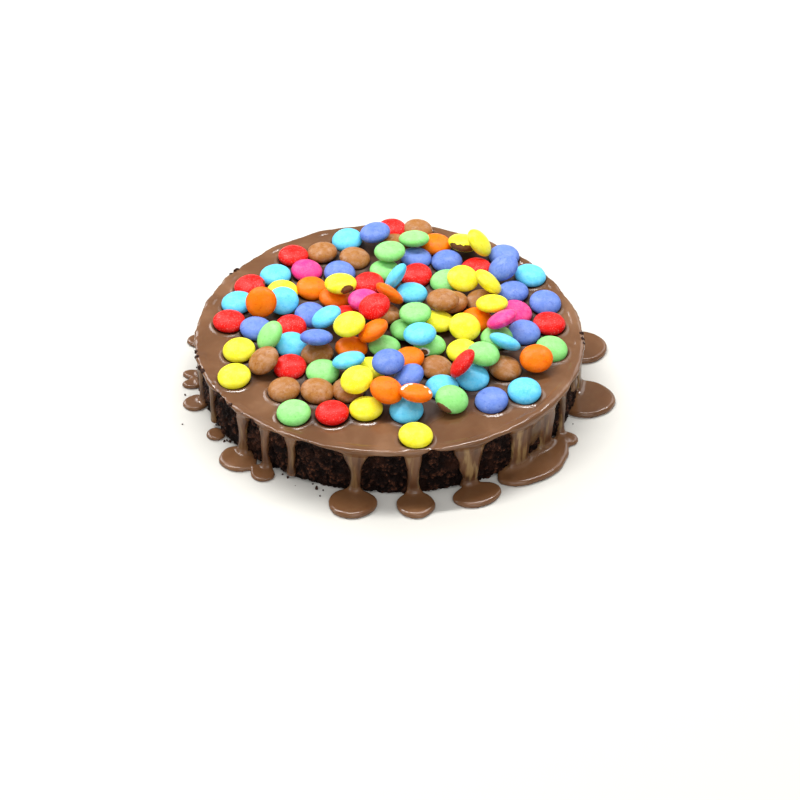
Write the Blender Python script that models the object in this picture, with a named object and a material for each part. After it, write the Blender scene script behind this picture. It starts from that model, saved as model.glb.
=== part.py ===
"""A round brownie cake under milk-chocolate glaze, heaped with sugar-shelled chocolate candies.

The brownie is one solid disc with a crumbly side. The glaze is one solid: a cap on the brownie, a wavy
skirt at its edge, the runs that went down its side and the puddles at their feet. The candies of the outer
rings are set in the glaze and joined to it. Every candy of the heap in the middle is a piece of its own.
The origin is the middle of the cake's flat base, +Z is up, and -Y is the front. Sizes are in millimetres.
"""

import math
import random
from collections import namedtuple

import bmesh
import bpy
import numpy as np
from mathutils import Matrix, Vector, noise

MM = 0.001
PIECE_GAP = 0.3
SHARP_ANGLE = math.radians(50)
FRONT = -90

# The brownie. Its side is lumpy: crags of CRAG_DEPTH, about CRAG_SPACING apart, and finer ones on them.
CAKE_RADIUS = 91.0
CAKE_HEIGHT = 25.1
GLAZE_DEPTH = 1.7
BROWNIE_RADIUS = 89.9
BROWNIE_TOP = CAKE_HEIGHT - GLAZE_DEPTH - PIECE_GAP
BROWNIE_SIDES = 66
BROWNIE_LEVELS = 4
CRAG_DEPTH = 1.3
CRAG_SPACING = 8.0
FINE_CRAG_SHARE = 0.5
FINE_CRAG_SPACING = 3.5
FOOT_HEIGHT = 3.0
FOOT_UNDERCUT = 1.4
SPACE_BELOW = 10.0

# How far the plan is from round: an oval part and a three-cornered part, each with the way it points.
OVAL = 0.9
OVAL_TURN = math.radians(-64)
THREE_CORNERED = 0.8
THREE_CORNERED_TURN = math.radians(-34)

# The glaze's cap. Its rim is round, swells where a run leaves it, and ends below in a wavy skirt.
CAP_SIDES = 66
RIM_ROUNDING = 1.7
RIM_SWELL = 0.8
SKIRT_DROP = 0.6
SKIRT_WAVE = 0.7
SKIRT_WAVE_LENGTH = 9.0
SKIRT_EDGE = 0.1
SKIRT_PROUD = 0.8
SKIRT_LIP = 0.45

# Runs of glaze down the side: angle in degrees, width at the top and halfway down, height of the lower end,
# and how far the run stands proud. A run that ends at zero reaches the surface under the cake.
Run = namedtuple("Run", "angle top_width width end proud")
RUNS = [
    Run(-179.4, 5.0, 3.2, 0, 1.5),
    Run(-174.8, 5.0, 3.2, 0, 1.5),
    Run(-166, 6.0, 4.0, 0, 1.6),
    Run(-154, 6.0, 3.4, 1.6, 1.5),
    Run(-137.3, 9.0, 6.0, 0, 1.8),
    Run(-128.2, 8.0, 4.4, 0, 1.7),
    Run(-119, 7.5, 4.2, 1.2, 1.7),
    Run(-99.4, 16.0, 5.8, 0, 2.2),
    Run(-82.9, 10.0, 6.0, 0, 2.0),
    Run(-66.6, 19.0, 7.6, 0, 2.0),
    Run(-49.8, 11.0, 9.5, 0, 1.9),
    Run(-44, 28.0, 26.0, 10.0, 1.4),
    Run(-38.3, 10.0, 8.6, 0, 1.9),
    Run(-29.6, 8.0, 4.2, 0, 1.7),
    Run(-19.5, 9.0, 7.0, 13.0, 1.6),
    Run(-6, 18.0, 16.0, 0, 1.7),
    Run(9, 17.0, 12.0, 0, 1.7),
    Run(27, 9.0, 5.0, 0, 1.8),
    Run(41, 8.0, 4.4, 6.0, 1.6),
    Run(58, 12.0, 6.2, 0, 2.0),
    Run(77, 9.0, 5.0, 3.0, 1.7),
    Run(93, 14.0, 8.0, 0, 2.0),
    Run(112, 8.0, 4.6, 8.0, 1.6),
    Run(129, 10.0, 6.0, 0, 1.9),
    Run(150, 9.0, 5.2, 0, 1.8),
    Run(164.3, 7.0, 4.2, 0, 1.6),
]
# A run's levels from its root to its end: share of its height, of its flare, of its width and of its stand.
RUN_LEVELS = ((1, 1, 1, 1), (0.82, 0.4, 1, 0.87), (0.55, 0, 1, 0.75), (0.25, 0, 1.03, 0.8), (0, 0, 1.2, 1))
RUN_TIP = (0, 0, 0.7, 0.7)
RUN_TIP_ROUNDING = 0.3
RUN_ACROSS = (-1, -0.7, 0, 0.7, 1)
RUN_ROOT = 5.0
RUN_TUCK = 0.5
RUN_FOOT = 0.6

# Puddles at the cake's foot: angle in degrees, distance of the middle from the cake's middle, half the
# width along the cake's edge, half the depth away from it, and height.
Puddle = namedtuple("Puddle", "angle distance half_width half_depth height")
PUDDLES = [
    Puddle(-179.4, 93.0, 3.4, 5.0, 2.0),
    Puddle(-174.6, 93.0, 3.2, 4.8, 2.0),
    Puddle(-165.4, 93.0, 5.6, 6.0, 2.2),
    Puddle(-149.5, 92.0, 4.4, 4.0, 1.8),
    Puddle(-136.2, 94.0, 9.0, 8.0, 2.4),
    Puddle(-126.8, 94.0, 5.6, 5.0, 2.0),
    Puddle(-99.3, 97.5, 10.8, 9.3, 2.9),
    Puddle(-83, 98.0, 8.6, 8.3, 2.8),
    Puddle(-66.4, 98.5, 11.2, 7.6, 2.7),
    Puddle(-46, 95.5, 21.0, 10.0, 2.9),
    Puddle(-31.8, 95.5, 4.4, 5.0, 2.2),
    Puddle(-12.9, 95.0, 13.6, 12.8, 3.0),
    Puddle(12.2, 95.0, 12.5, 12.0, 3.0),
    Puddle(27, 93.0, 6.0, 6.5, 2.2),
    Puddle(58, 94.0, 9.0, 9.0, 2.7),
    Puddle(93, 95.0, 12.0, 10.0, 2.9),
    Puddle(129, 94.0, 8.0, 8.0, 2.5),
    Puddle(150, 93.5, 7.0, 7.0, 2.4),
    Puddle(164.3, 94.5, 5.6, 6.8, 2.2),
]
# A puddle's levels from its base: share of its width, and share of its height.
PUDDLE_LEVELS = ((0.94, 0), (1, 0.3), (0.84, 0.82), (0.5, 1))
PUDDLE_SIDE_LENGTH = 5.4
PUDDLE_UNEVEN = 0.05

# The candies: their size, their sides, and the latitudes of their rings.
CANDY_DIAMETER = 15.4
CANDY_THICKNESS = 6.4
LOOSE_SIDES = 12
LOOSE_LATITUDES = (-36, 0, 36)
SET_IN_SIDES = 10
SET_IN_LATITUDES = (0, 40)
FACET_SWELL = 1.012

# The first course of candies, which lies on the glaze: where each fell. Those further from the middle than
# SET_IN_FROM are set in the glaze, and lean to the front by a drawn tilt.
FIRST_COURSE = {
    "red": [(-25, -65), (-75, 5), (-67, 34), (-47, 60), (75, 3), (1, 83)]
    + [(-46, 0), (-45, -31), (42, 49), (-10, 36), (13, 43), (-18, 8)],
    "orange": [(23, 70), (-16, -17), (10, -26), (41, 6), (-27, 21), (-37, 32)],
    "yellow": [(12, -81), (-10, -62), (-70, -38), (-69, -18), (-7, -33), (34, -19), (24, 4), (-51, 29)],
    "green": [(-42, -65), (75, -17), (-30, -35), (-2, -16), (20, -17), (50, -8), (-2, 47), (27, 38), (9, -4)],
    "turquoise": [(8, -63), (61, -49), (-72, 20), (-55, 43), (-21, 74), (68, 43), (24, -46)]
    + [(-45, -14), (38, -39), (12, 27)],
    "blue": [(46, -56), (56, 60), (74, 20), (-62, -1), (63, -4), (59, 29), (28, 55), (13, 58)]
    + [(-24, 45), (-37, 10)],
    "brown": [(-47, -48), (-32, -49), (14, 83), (-33, -21), (-18, -48), (53, -32), (22, -32), (31, 17)]
    + [(44, 21), (-17, 58), (-33, 63), (2, 70), (-1, 9)],
    "pink": [(60, 12), (-40, 47), (-13, 21)],
}
SET_IN_FROM = 37
SET_IN_DEPTH = 1.1
SET_IN_TILTS = (5, 16)
SET_IN_SWING = 45
SET_IN_SEED = 49

# The candies that lie on the first course, in the order in which they lie on each other: where each fell,
# and the tilt and the way that its upper face looks, in degrees.
SECOND_COURSE = [
    ("yellow", 35, 69, 5, 40),
    ("blue", -6, 79, 15, -155),
    ("green", 12, 73, 6, 120),
    ("green", -1, 62, 8, -120),
    ("blue", 56, 48, 30, -130),
    ("brown", 24, 21, 8, -90),
    ("yellow", 34, 32, 20, -90),
    ("yellow", -23, 34, 5, -160),
    ("turquoise", -49, 21, 30, -105),
    ("orange", -59, 16, 40, -125),
    ("red", -8, 15, 25, -155),
    ("orange", -6, -4, 30, 170),
    ("turquoise", -28, 7, 30, 155),
    ("yellow", -17, 1, 12, -115),
    ("green", 11, 10, 8, -110),
    ("turquoise", 13, -7, 10, -120),
    ("yellow", 47, 18, 15, 130),
    ("pink", 51, 7, 25, 150),
    ("yellow", 34, -1, 20, -90),
    ("green", 43, -22, 15, -50),
    ("turquoise", 52, -15, 30, 30),
    ("orange", 66, -25, 25, -120),
    ("blue", -32, -9, 12, 85),
    ("brown", -57, -27, 30, -130),
    ("blue", 10, -39, 20, 175),
    ("blue", 1, -28, 8, -90),
    ("turquoise", -17, -27, 20, 110),
    ("yellow", -13, -41, 15, -105),
    ("orange", -2, -49, 25, -60),
    ("orange", 11, -51, 20, 70),
    ("green", 27, -56, 20, -75),
    ("red", 32, -29, 55, 170),
    ("orange", -1, 24, 40, 15),
    ("yellow", 45, 69, 50, -10),
    ("yellow", 47, 36, 45, -10),
    ("green", -55, -8, 50, 180),
    ("turquoise", 3, 32, 60, 185),
]

# Loose candies come to rest on a height map in steps of CELL, in the lowest of the poses close to their own.
# The place where one fell is at FIRST_LEVEL, and its middle is LEAN further to the front for each mm that it
# comes to rest higher.
FIRST_LEVEL = 27.6
LEAN = 1.3
FIRST_TILTS = (4, 8, 12)
FIRST_WAYS = (-150, -120, -90, -60, -30)
TILT_NUDGES = (-5, 0, 5)
WAY_NUDGES = (-20, 0, 20)
SIDE_NUDGES = (-1.2, 0, 1.2)
FRONT_NUDGES = range(-1, 20)
STRAY_COST = 1.0
CELL = 0.5
MAP_HALF = 110.0

COLOURS = {
    "brownie": (0.012, 0.004, 0.002),
    "glaze": (0.22, 0.095, 0.042),
    "red": (0.86, 0.02, 0.015),
    "orange": (0.97, 0.27, 0.005),
    "yellow": (0.98, 0.90, 0.04),
    "green": (0.36, 0.86, 0.26),
    "turquoise": (0.14, 0.68, 0.97),
    "blue": (0.18, 0.27, 0.78),
    "brown": (0.50, 0.22, 0.07),
    "pink": (0.90, 0.10, 0.40),
}
ROUGHNESS = {"brownie": 0.85, "glaze": 0.22}
SHELL_ROUGHNESS = 0.35


def clear_scene():
    for obj in list(bpy.data.objects):
        bpy.data.objects.remove(obj)


def finish_of(name):
    """The material of one finish, made the first time that it is asked for."""
    material = bpy.data.materials.get(name)
    if material:
        return material
    material = bpy.data.materials.new(name)
    material.use_nodes = True
    shader = material.node_tree.nodes["Principled BSDF"]
    shader.inputs["Base Color"].default_value = (*COLOURS[name], 1)
    shader.inputs["Roughness"].default_value = ROUGHNESS.get(name, SHELL_ROUGHNESS)
    shader.inputs["Metallic"].default_value = 0
    material.diffuse_color = (*COLOURS[name], 1)
    return material


def closed_skin(rings, start=None, end=None):
    """A closed mesh through rings of equally many points, in mm.

    The bands between the rings are triangles, so that two skins a small gap apart bend alike. Each end is
    shut by a fan to the point given for it or, with none, by one flat face.
    """
    shape = bmesh.new()
    rows = [[shape.verts.new(Vector(point) * MM) for point in ring] for ring in rings]
    count = len(rows[0])
    for row, tip in ((rows[0], start), (rows[-1], end)):
        if tip is None:
            shape.faces.new(row)
            continue
        tip = shape.verts.new(Vector(tip) * MM)
        for i in range(count):
            shape.faces.new((tip, row[i], row[(i + 1) % count]))
    for i in range(count):
        after = (i + 1) % count
        for low, high in zip(rows, rows[1:]):
            shape.faces.new((low[i], low[after], high[after]))
            shape.faces.new((low[i], high[after], high[i]))
    bmesh.ops.recalc_face_normals(shape, faces=shape.faces)
    return shape


def add_object(name, shape, finish):
    mesh = bpy.data.meshes.new(name)
    shape.to_mesh(mesh)
    shape.free()
    mesh.shade_smooth()
    mesh.set_sharp_from_angle(angle=SHARP_ANGLE)
    mesh.materials.append(finish_of(finish))
    obj = bpy.data.objects.new(name, mesh)
    bpy.context.scene.collection.objects.link(obj)
    return obj


def polar(angle, radius, z):
    return (radius * math.cos(angle), radius * math.sin(angle), z)


def ring_angles(count):
    return [2 * math.pi * i / count for i in range(count)]


def out_of_round(angle):
    oval = OVAL * math.cos(2 * (angle - OVAL_TURN))
    return oval + THREE_CORNERED * math.cos(3 * (angle - THREE_CORNERED_TURN))


def side_radius(angle, z):
    """Radius of the brownie's crumbly side, which tucks in at its foot."""
    at = Vector(polar(angle, BROWNIE_RADIUS, z))
    crags = noise.noise(at / CRAG_SPACING) + FINE_CRAG_SHARE * noise.noise(at / FINE_CRAG_SPACING)
    tuck = max(0.0, 1 - z / FOOT_HEIGHT) ** 2
    return BROWNIE_RADIUS + out_of_round(angle) + CRAG_DEPTH * (crags - 0.5) - FOOT_UNDERCUT * tuck


def brownie_shape(gap=0.0, below=0.0):
    """The brownie, or with a gap and a depth below its base, the space that the glaze leaves for it."""
    angles = ring_angles(BROWNIE_SIDES)
    heights = [BROWNIE_TOP * i / BROWNIE_LEVELS for i in range(BROWNIE_LEVELS + 1)]
    rings = [[polar(a, side_radius(a, z) + gap, z) for a in angles] for z in heights]
    rings[-1] = [(x, y, BROWNIE_TOP + gap) for x, y, _ in rings[-1]]
    if below:
        rings.insert(0, [(x, y, -below) for x, y, _ in rings[0]])
    return closed_skin(rings)


def rim_radius(angle):
    """Radius of the cap's edge, which swells out where a run of glaze leaves it."""
    radius = CAKE_RADIUS + out_of_round(angle)
    swells = [0.0]
    for run in RUNS:
        apart = math.remainder(angle - math.radians(run.angle), 2 * math.pi)
        across = apart * CAKE_RADIUS / (0.5 * run.top_width)
        swells.append(RIM_SWELL * run.proud * math.exp(-across * across))
    return radius + max(swells)


def cap_shape():
    """The glaze on the brownie's top, from the lower edge of its skirt over its rim."""
    angles = ring_angles(CAP_SIDES)
    wave = [noise.noise(Vector(polar(a, CAKE_RADIUS, 0)) / SKIRT_WAVE_LENGTH) for a in angles]
    skirt = [(a, BROWNIE_TOP - SKIRT_DROP - SKIRT_WAVE * w) for a, w in zip(angles, wave)]
    rings = [
        [polar(a, BROWNIE_RADIUS - RUN_ROOT, z) for a, z in skirt],
        [polar(a, side_radius(a, z) + PIECE_GAP + SKIRT_EDGE, z) for a, z in skirt],
        [polar(a, side_radius(a, z) + PIECE_GAP + SKIRT_PROUD, z + SKIRT_LIP) for a, z in skirt],
    ]
    for turn in (0, 45, 90):
        inward = RIM_ROUNDING * (1 - math.cos(math.radians(turn)))
        z = CAKE_HEIGHT - RIM_ROUNDING * (1 - math.sin(math.radians(turn)))
        rings.append([polar(a, rim_radius(a) - inward, z) for a in angles])
    return closed_skin(rings, start=(0, 0, BROWNIE_TOP - SKIRT_DROP))


def run_ring(run, z, flare, width_share, stand_share):
    """One level of a run, from side to side over its crown and back inside the brownie."""
    half = 0.5 * (width_share * run.width + flare * (run.top_width - run.width)) / CAKE_RADIUS
    middle = math.radians(run.angle)
    ring = []
    for across in RUN_ACROSS:
        angle = middle + across * half
        stand = stand_share * run.proud * math.sqrt(1 - across * across) - RUN_TUCK * across * across
        ring.append(polar(angle, side_radius(angle, z) + PIECE_GAP + stand, z))
    for across in (1, -1):
        ring.append(polar(middle + across * half, BROWNIE_RADIUS - RUN_ROOT, z))
    return ring


def run_shape(run):
    """One run of glaze: wide where it leaves the rim, narrow halfway, and full at its lower end."""
    top = CAKE_HEIGHT - RIM_ROUNDING
    reaches_down = run.end == 0
    low = RUN_FOOT if reaches_down else run.end + RUN_TIP_ROUNDING * run.width
    rings = [run_ring(run, low + share * (top - low), *shares) for share, *shares in RUN_LEVELS]
    if not reaches_down:
        rings.append(run_ring(run, run.end, *RUN_TIP[1:]))
    return closed_skin(rings)


def puddle_shape(puddle):
    """One puddle: flat below, with a steep round edge and a nearly level top."""
    sides = round(math.pi * (puddle.half_width + puddle.half_depth) / PUDDLE_SIDE_LENGTH)
    middle = math.radians(puddle.angle)
    rings = []
    for share, level in PUDDLE_LEVELS:
        ring = []
        for turn in ring_angles(sides):
            reach = share * (1 + PUDDLE_UNEVEN * math.sin(3 * turn + puddle.angle))
            angle = middle + reach * puddle.half_width * math.sin(turn) / puddle.distance
            radius = puddle.distance + reach * puddle.half_depth * math.cos(turn)
            ring.append(polar(angle, radius, level * puddle.height))
        rings.append(ring)
    return closed_skin(rings)


class Heap:
    """The candies where they come to rest, each dropped on a height map of the glaze and those before it."""

    def __init__(self):
        cells = int(2 * MAP_HALF / CELL)
        self.height = np.full((cells, cells), CAKE_HEIGHT)
        self.placed = []

    def cells(self, pose, x, y):
        i = int((x + MAP_HALF) / CELL)
        j = int((y + MAP_HALF) / CELL)
        return pose["cells"][0] + i, pose["cells"][1] + j

    def rest(self, pose, x, y):
        """Height at which a candy's middle comes to rest in this pose at this place."""
        return float(np.max(self.height[self.cells(pose, x, y)] - pose["lower"]))

    def put(self, colour, x, y, z, pose, loose):
        cells = self.cells(pose, x, y)
        self.height[cells] = np.maximum(self.height[cells], z + pose["upper"])
        self.placed.append({"colour": colour, "at": (x, y, z), "turn": pose["turn"], "loose": loose})

    def set_in(self, colour, x, y, draw):
        """A candy of the first course, pressed into the glaze and leaning a little to the front."""
        pose = candy_pose(draw.uniform(*SET_IN_TILTS), FRONT + draw.uniform(-SET_IN_SWING, SET_IN_SWING))
        self.put(colour, x, y, CAKE_HEIGHT - SET_IN_DEPTH + 0.5 * CANDY_THICKNESS, pose, False)

    def settle(self, colour, x, y, poses):
        """A loose candy, left near its place in the lowest of the poses."""
        best = None
        for dx in SIDE_NUDGES:
            for dy in FRONT_NUDGES:
                for pose in poses:
                    z = self.rest(pose, x + dx, y - dy)
                    cost = z + STRAY_COST * abs(dy - LEAN * (z - FIRST_LEVEL))
                    if best is None or cost < best[0]:
                        best = (cost, x + dx, y - dy, z, pose)
        _, x, y, z, pose = best
        self.put(colour, x, y, z, pose, True)


def candy_pose(tilt, way):
    """A tilt, with the upper face looking to a compass way, and the candy's height over the map's cells.

    The heights are those of the candy grown by half the gap that it keeps to its neighbours.
    """
    turn = Matrix.Rotation(math.radians(way), 3, "Z")
    turn = turn @ Matrix.Rotation(math.radians(tilt), 3, "Y") @ turn.transposed()
    a = 0.5 * CANDY_DIAMETER + PIECE_GAP
    c = 0.5 * CANDY_THICKNESS + PIECE_GAP
    form = np.array(turn) @ np.diag([1 / a**2, 1 / a**2, 1 / c**2]) @ np.array(turn).T
    reach = int(a / CELL) + 1
    steps = np.arange(-reach, reach + 1)
    i, j = np.meshgrid(steps, steps, indexing="ij")
    x, y = i * CELL, j * CELL
    slope = form[0, 2] * x + form[1, 2] * y
    flat = form[0, 0] * x * x + 2 * form[0, 1] * x * y + form[1, 1] * y * y - 1
    square = slope * slope - form[2, 2] * flat
    inside = square > 0
    root = np.sqrt(square[inside])
    middle = -slope[inside]
    return {
        "turn": turn,
        "cells": (i[inside], j[inside]),
        "lower": (middle - root) / form[2, 2],
        "upper": (middle + root) / form[2, 2],
    }


def lay_heap():
    """Every candy's colour, place and turn, course by course."""
    heap = Heap()
    draw = random.Random(SET_IN_SEED)
    on_glaze = []
    for colour, places in FIRST_COURSE.items():
        for x, y in places:
            if math.hypot(x, y) > SET_IN_FROM:
                heap.set_in(colour, x, y, draw)
            else:
                on_glaze.append((colour, x, y))
    first_poses = [candy_pose(tilt, way) for tilt in FIRST_TILTS for way in FIRST_WAYS]
    for colour, x, y in on_glaze:
        heap.settle(colour, x, y, first_poses)
    for colour, x, y, tilt, way in SECOND_COURSE:
        poses = [candy_pose(tilt + more, way + swing) for more in TILT_NUDGES for swing in WAY_NUDGES]
        heap.settle(colour, x, y, poses)
    return heap.placed


def candy_shape(candy):
    """A candy where it lies, with its facets' corners a little proud, so that its mean size is true."""
    sides, latitudes = (LOOSE_SIDES, LOOSE_LATITUDES) if candy["loose"] else (SET_IN_SIDES, SET_IN_LATITUDES)
    half = 0.5 * FACET_SWELL
    scale = Vector((half * CANDY_DIAMETER, half * CANDY_DIAMETER, half * CANDY_THICKNESS))

    def placed(point):
        return Vector(candy["at"]) + candy["turn"] @ (Vector(point) * scale)

    rings = []
    for latitude in latitudes:
        reach = math.cos(math.radians(latitude))
        rise = math.sin(math.radians(latitude))
        rings.append([placed(polar(angle, reach, rise)) for angle in ring_angles(sides)])
    return closed_skin(rings, placed((0, 0, -1)), placed((0, 0, 1)))


def apply_modifiers(obj):
    bpy.context.view_layer.update()
    graph = bpy.context.evaluated_depsgraph_get()
    mesh = bpy.data.meshes.new_from_object(obj.evaluated_get(graph))
    obj.modifiers.clear()
    obj.data = mesh
    mesh.set_sharp_from_angle(angle=SHARP_ANGLE)


def join_all(target, pieces):
    """The target joined with the pieces by one Boolean, and the pieces removed."""
    group = bpy.data.collections.new("joined")
    for piece in pieces:
        group.objects.link(piece)
    union = target.modifiers.new("union", "BOOLEAN")
    union.operation = "UNION"
    union.operand_type = "COLLECTION"
    union.collection = group
    union.material_mode = "TRANSFER"
    apply_modifiers(target)
    for piece in pieces:
        bpy.data.objects.remove(piece)
    bpy.data.collections.remove(group)


def cut_out(target, cutter):
    """The target less the cutter, and the cutter removed."""
    cut = target.modifiers.new("cut", "BOOLEAN")
    cut.operation = "DIFFERENCE"
    cut.object = cutter
    apply_modifiers(target)
    bpy.data.objects.remove(cutter)


def body_round(vert):
    """All the vertices that edges join to this one."""
    body = {vert}
    front = [vert]
    while front:
        for edge in front.pop().link_edges:
            new = set(edge.verts) - body
            body |= new
            front += new
    return body


def drop_scraps(obj):
    """The object with only its largest connected body."""
    shape = bmesh.new()
    shape.from_mesh(obj.data)
    left = set(shape.verts)
    bodies = []
    while left:
        bodies.append(body_round(next(iter(left))))
        left -= bodies[-1]
    bodies.sort(key=len)
    for body in bodies[:-1]:
        bmesh.ops.delete(shape, geom=list(body), context="VERTS")
    shape.to_mesh(obj.data)
    shape.free()


def build_brownie():
    add_object("brownie", brownie_shape(), "brownie")


def build_glaze(set_in):
    """The cap with its runs, its puddles and the candies set in it, fitted round the brownie."""
    glaze = add_object("glaze", cap_shape(), "glaze")
    pieces = [add_object("run", run_shape(run), "glaze") for run in RUNS]
    pieces += [add_object("puddle", puddle_shape(puddle), "glaze") for puddle in PUDDLES]
    pieces += [add_object("set_in", candy_shape(candy), candy["colour"]) for candy in set_in]
    join_all(glaze, pieces)
    cut_out(glaze, add_object("brownie_space", brownie_shape(PIECE_GAP, SPACE_BELOW), "glaze"))
    drop_scraps(glaze)


def build_loose_candies(loose):
    counts = dict.fromkeys(FIRST_COURSE, 0)
    for candy in loose:
        colour = candy["colour"]
        counts[colour] += 1
        add_object(f"candy_{colour}_{counts[colour]:02d}", candy_shape(candy), colour)


def build():
    clear_scene()
    candies = lay_heap()
    build_brownie()
    build_glaze([candy for candy in candies if not candy["loose"]])
    build_loose_candies([candy for candy in candies if candy["loose"]])


build()
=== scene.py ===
"""The round brownie cake as it looks: dark crumb, flowing milk-chocolate glaze, and candies in sugar shells.

Sizes are in millimetres up to the finished meshes, which are in metres. The candies lie where the frame's
solids have them, because the same rule lays them.
"""

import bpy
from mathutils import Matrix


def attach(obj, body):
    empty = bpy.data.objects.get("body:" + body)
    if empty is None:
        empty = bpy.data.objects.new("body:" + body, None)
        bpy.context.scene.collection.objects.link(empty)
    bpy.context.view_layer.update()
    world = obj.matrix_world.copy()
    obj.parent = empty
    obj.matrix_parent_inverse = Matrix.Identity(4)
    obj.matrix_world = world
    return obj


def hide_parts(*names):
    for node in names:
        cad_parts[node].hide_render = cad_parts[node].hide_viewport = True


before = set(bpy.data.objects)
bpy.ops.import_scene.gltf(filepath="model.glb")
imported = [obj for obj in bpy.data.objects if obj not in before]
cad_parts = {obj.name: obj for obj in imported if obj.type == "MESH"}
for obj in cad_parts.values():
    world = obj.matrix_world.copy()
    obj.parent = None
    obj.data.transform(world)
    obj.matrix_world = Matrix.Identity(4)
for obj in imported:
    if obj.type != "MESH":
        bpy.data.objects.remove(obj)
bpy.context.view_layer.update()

import math
import random
from collections import namedtuple

import bpy
import numpy as np
from mathutils import Matrix, Vector, noise

MM = 0.001
PIECE_GAP = 0.3
FRONT = -90

# The brownie and its side's relief.
CAKE_RADIUS = 91.0
CAKE_HEIGHT = 25.1
GLAZE_DEPTH = 1.7
BROWNIE_RADIUS = 89.9
BROWNIE_TOP = CAKE_HEIGHT - GLAZE_DEPTH - PIECE_GAP
FOOT_HEIGHT = 3.0
FOOT_UNDERCUT = 1.4
FOOT_RADIUS = 95
SIDE_COLUMNS = 1240
SIDE_ROWS = 54
# The middle of the side's relief lies this far inside the brownie's radius.
SIDE_INSET = 0.4

# The outline is a little oval and a little three-cornered: by how much, and which way.
OVAL = 0.9
OVAL_TURN = math.radians(-64)
THREE_CORNERED = 0.8
THREE_CORNERED_TURN = math.radians(-34)

# The side's crumb, as the width and the depth of what each kind of form adds to it. A hollow opens only
# where its noise is above HOLLOW_FROM.
Relief = namedtuple("Relief", "width depth")
LUMPS = Relief(7.0, 0.7)
HOLLOWS = Relief(4.4, 3.0)
HOLLOW_FROM = 0.14
COARSE_CRUMB = Relief(2.4, 2.2)
FINE_CRUMB = Relief(1.25, 1.0)
CRUMB_WARP = Relief(2.0, 0.8)
LEAST_DEPTH = 0.10
# Without a seed of its own, the noise that warps the relief would differ from run to run.
RELIEF_SEED = 12
# The relief stands out by CRUMB_PROUD. Over the last EDGE_BAND below the glaze it fades to half and draws in
# by EDGE_INSET.
CRUMB_PROUD = 0.55
EDGE_BAND = 1.0
EDGE_INSET = 0.7
# Deep places shift up and proud ones down, by a share of how far they are from LEVEL_DEPTH. The shift grows
# from nothing at the foot to its full share at SHIFTED_FROM.
CRUMB_SHIFT = 0.3
LEVEL_DEPTH = 0.9
SHIFTED_FROM = 2
# The side ends a little below the skirt's lower edge, and never above SIDE_TOP.
SIDE_BELOW_SKIRT = 0.1
SIDE_TOP = 23.8

# The glaze: its rim, its runs and its puddles, blended into one another.
FIELD_STEP = 0.8
FIELD_LOW = (-106.0, -111.0, -FIELD_STEP)
FIELD_HIGH = (112.0, 110.0, 28.0)
RIM_ROUNDING = 0.9
RIM_SWELL = 0.3
RIM_RIPPLE = 0.16
SKIRT_PROUD = 0.9
SKIRT_WAVE = 0.4
SKIRT_ROUNDING = 0.4
# How far above its lower edge the skirt starts to widen to the rim, and over what height it does.
SKIRT_WIDENS_FROM = 0.2
SKIRT_WIDENS_OVER = 1.3
# Inside LIP_FROM the glaze ends at UNDERSIDE, and over the next LIP_WIDTH it meets the skirt's lower edge.
LIP_FROM = 87.5
LIP_WIDTH = 2.0
UNDERSIDE = BROWNIE_TOP - 0.5
# Inside this radius only the top is worth working out; what is left out of it counts as FAR outside.
INNER_RADIUS = 84
FAR = 9.0
# The top lies within this much of the brownie's top and of the cake's height, and a run or a puddle reaches
# no further than its size and its own margin.
TOP_MARGIN = 2.5
FLOW_MARGIN = 6

# The top of the glaze: how far it lies below the cake's height, and how far it swells and dimples.
TOP_DROP = 0.15
TOP_SWELL = 0.16
TOP_DIMPLE = 0.05
# Round each candy that is set in it, a raised ring and a shallow dip: height, way out from the candy, width.
Ring = namedtuple("Ring", "height out width")
RINGS = (Ring(0.36, 1.3, 0.85), Ring(-0.08, 3.6, 1.4))
RING_EDGE = 0.44
RING_REACH = 15
# Glaze close to a low candy gets a painted shadow, and glaze among many gets painted shade and is dull.
SHADOW_EDGE = 0.46
CONTACT_REACH = 0.8
CONTACT_RISE = 3
CROWD_REACH = 4.5
CROWD_FROM = 0.8
CROWD_OVER = 1.2

# The skirt's lower edge round the cake: the angle, in degrees, and the height.
SKIRT_EDGE = (
    (-180, 23.5), (-160, 23.2), (-147, 24.1), (-133, 24.0), (-122, 24.2), (-115, 24.3), (-109, 23.9),
    (-100, 22.6), (-91, 22.5), (-84, 22.6), (-78, 24.0), (-74, 23.6), (-66, 22.5), (-58, 23.8), (-50, 22.5),
    (-38, 22.5), (-32, 23.4), (-25, 22.9), (-14, 23.2), (-2, 22.6), (10, 22.6), (20, 23.6), (34, 23.2),
    (48, 23.9), (60, 22.8), (68, 23.7), (85, 23.1), (103, 23.8), (120, 23.2), (140, 23.9), (158, 23.2),
    (172, 23.8), (180, 23.5),
)

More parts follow.
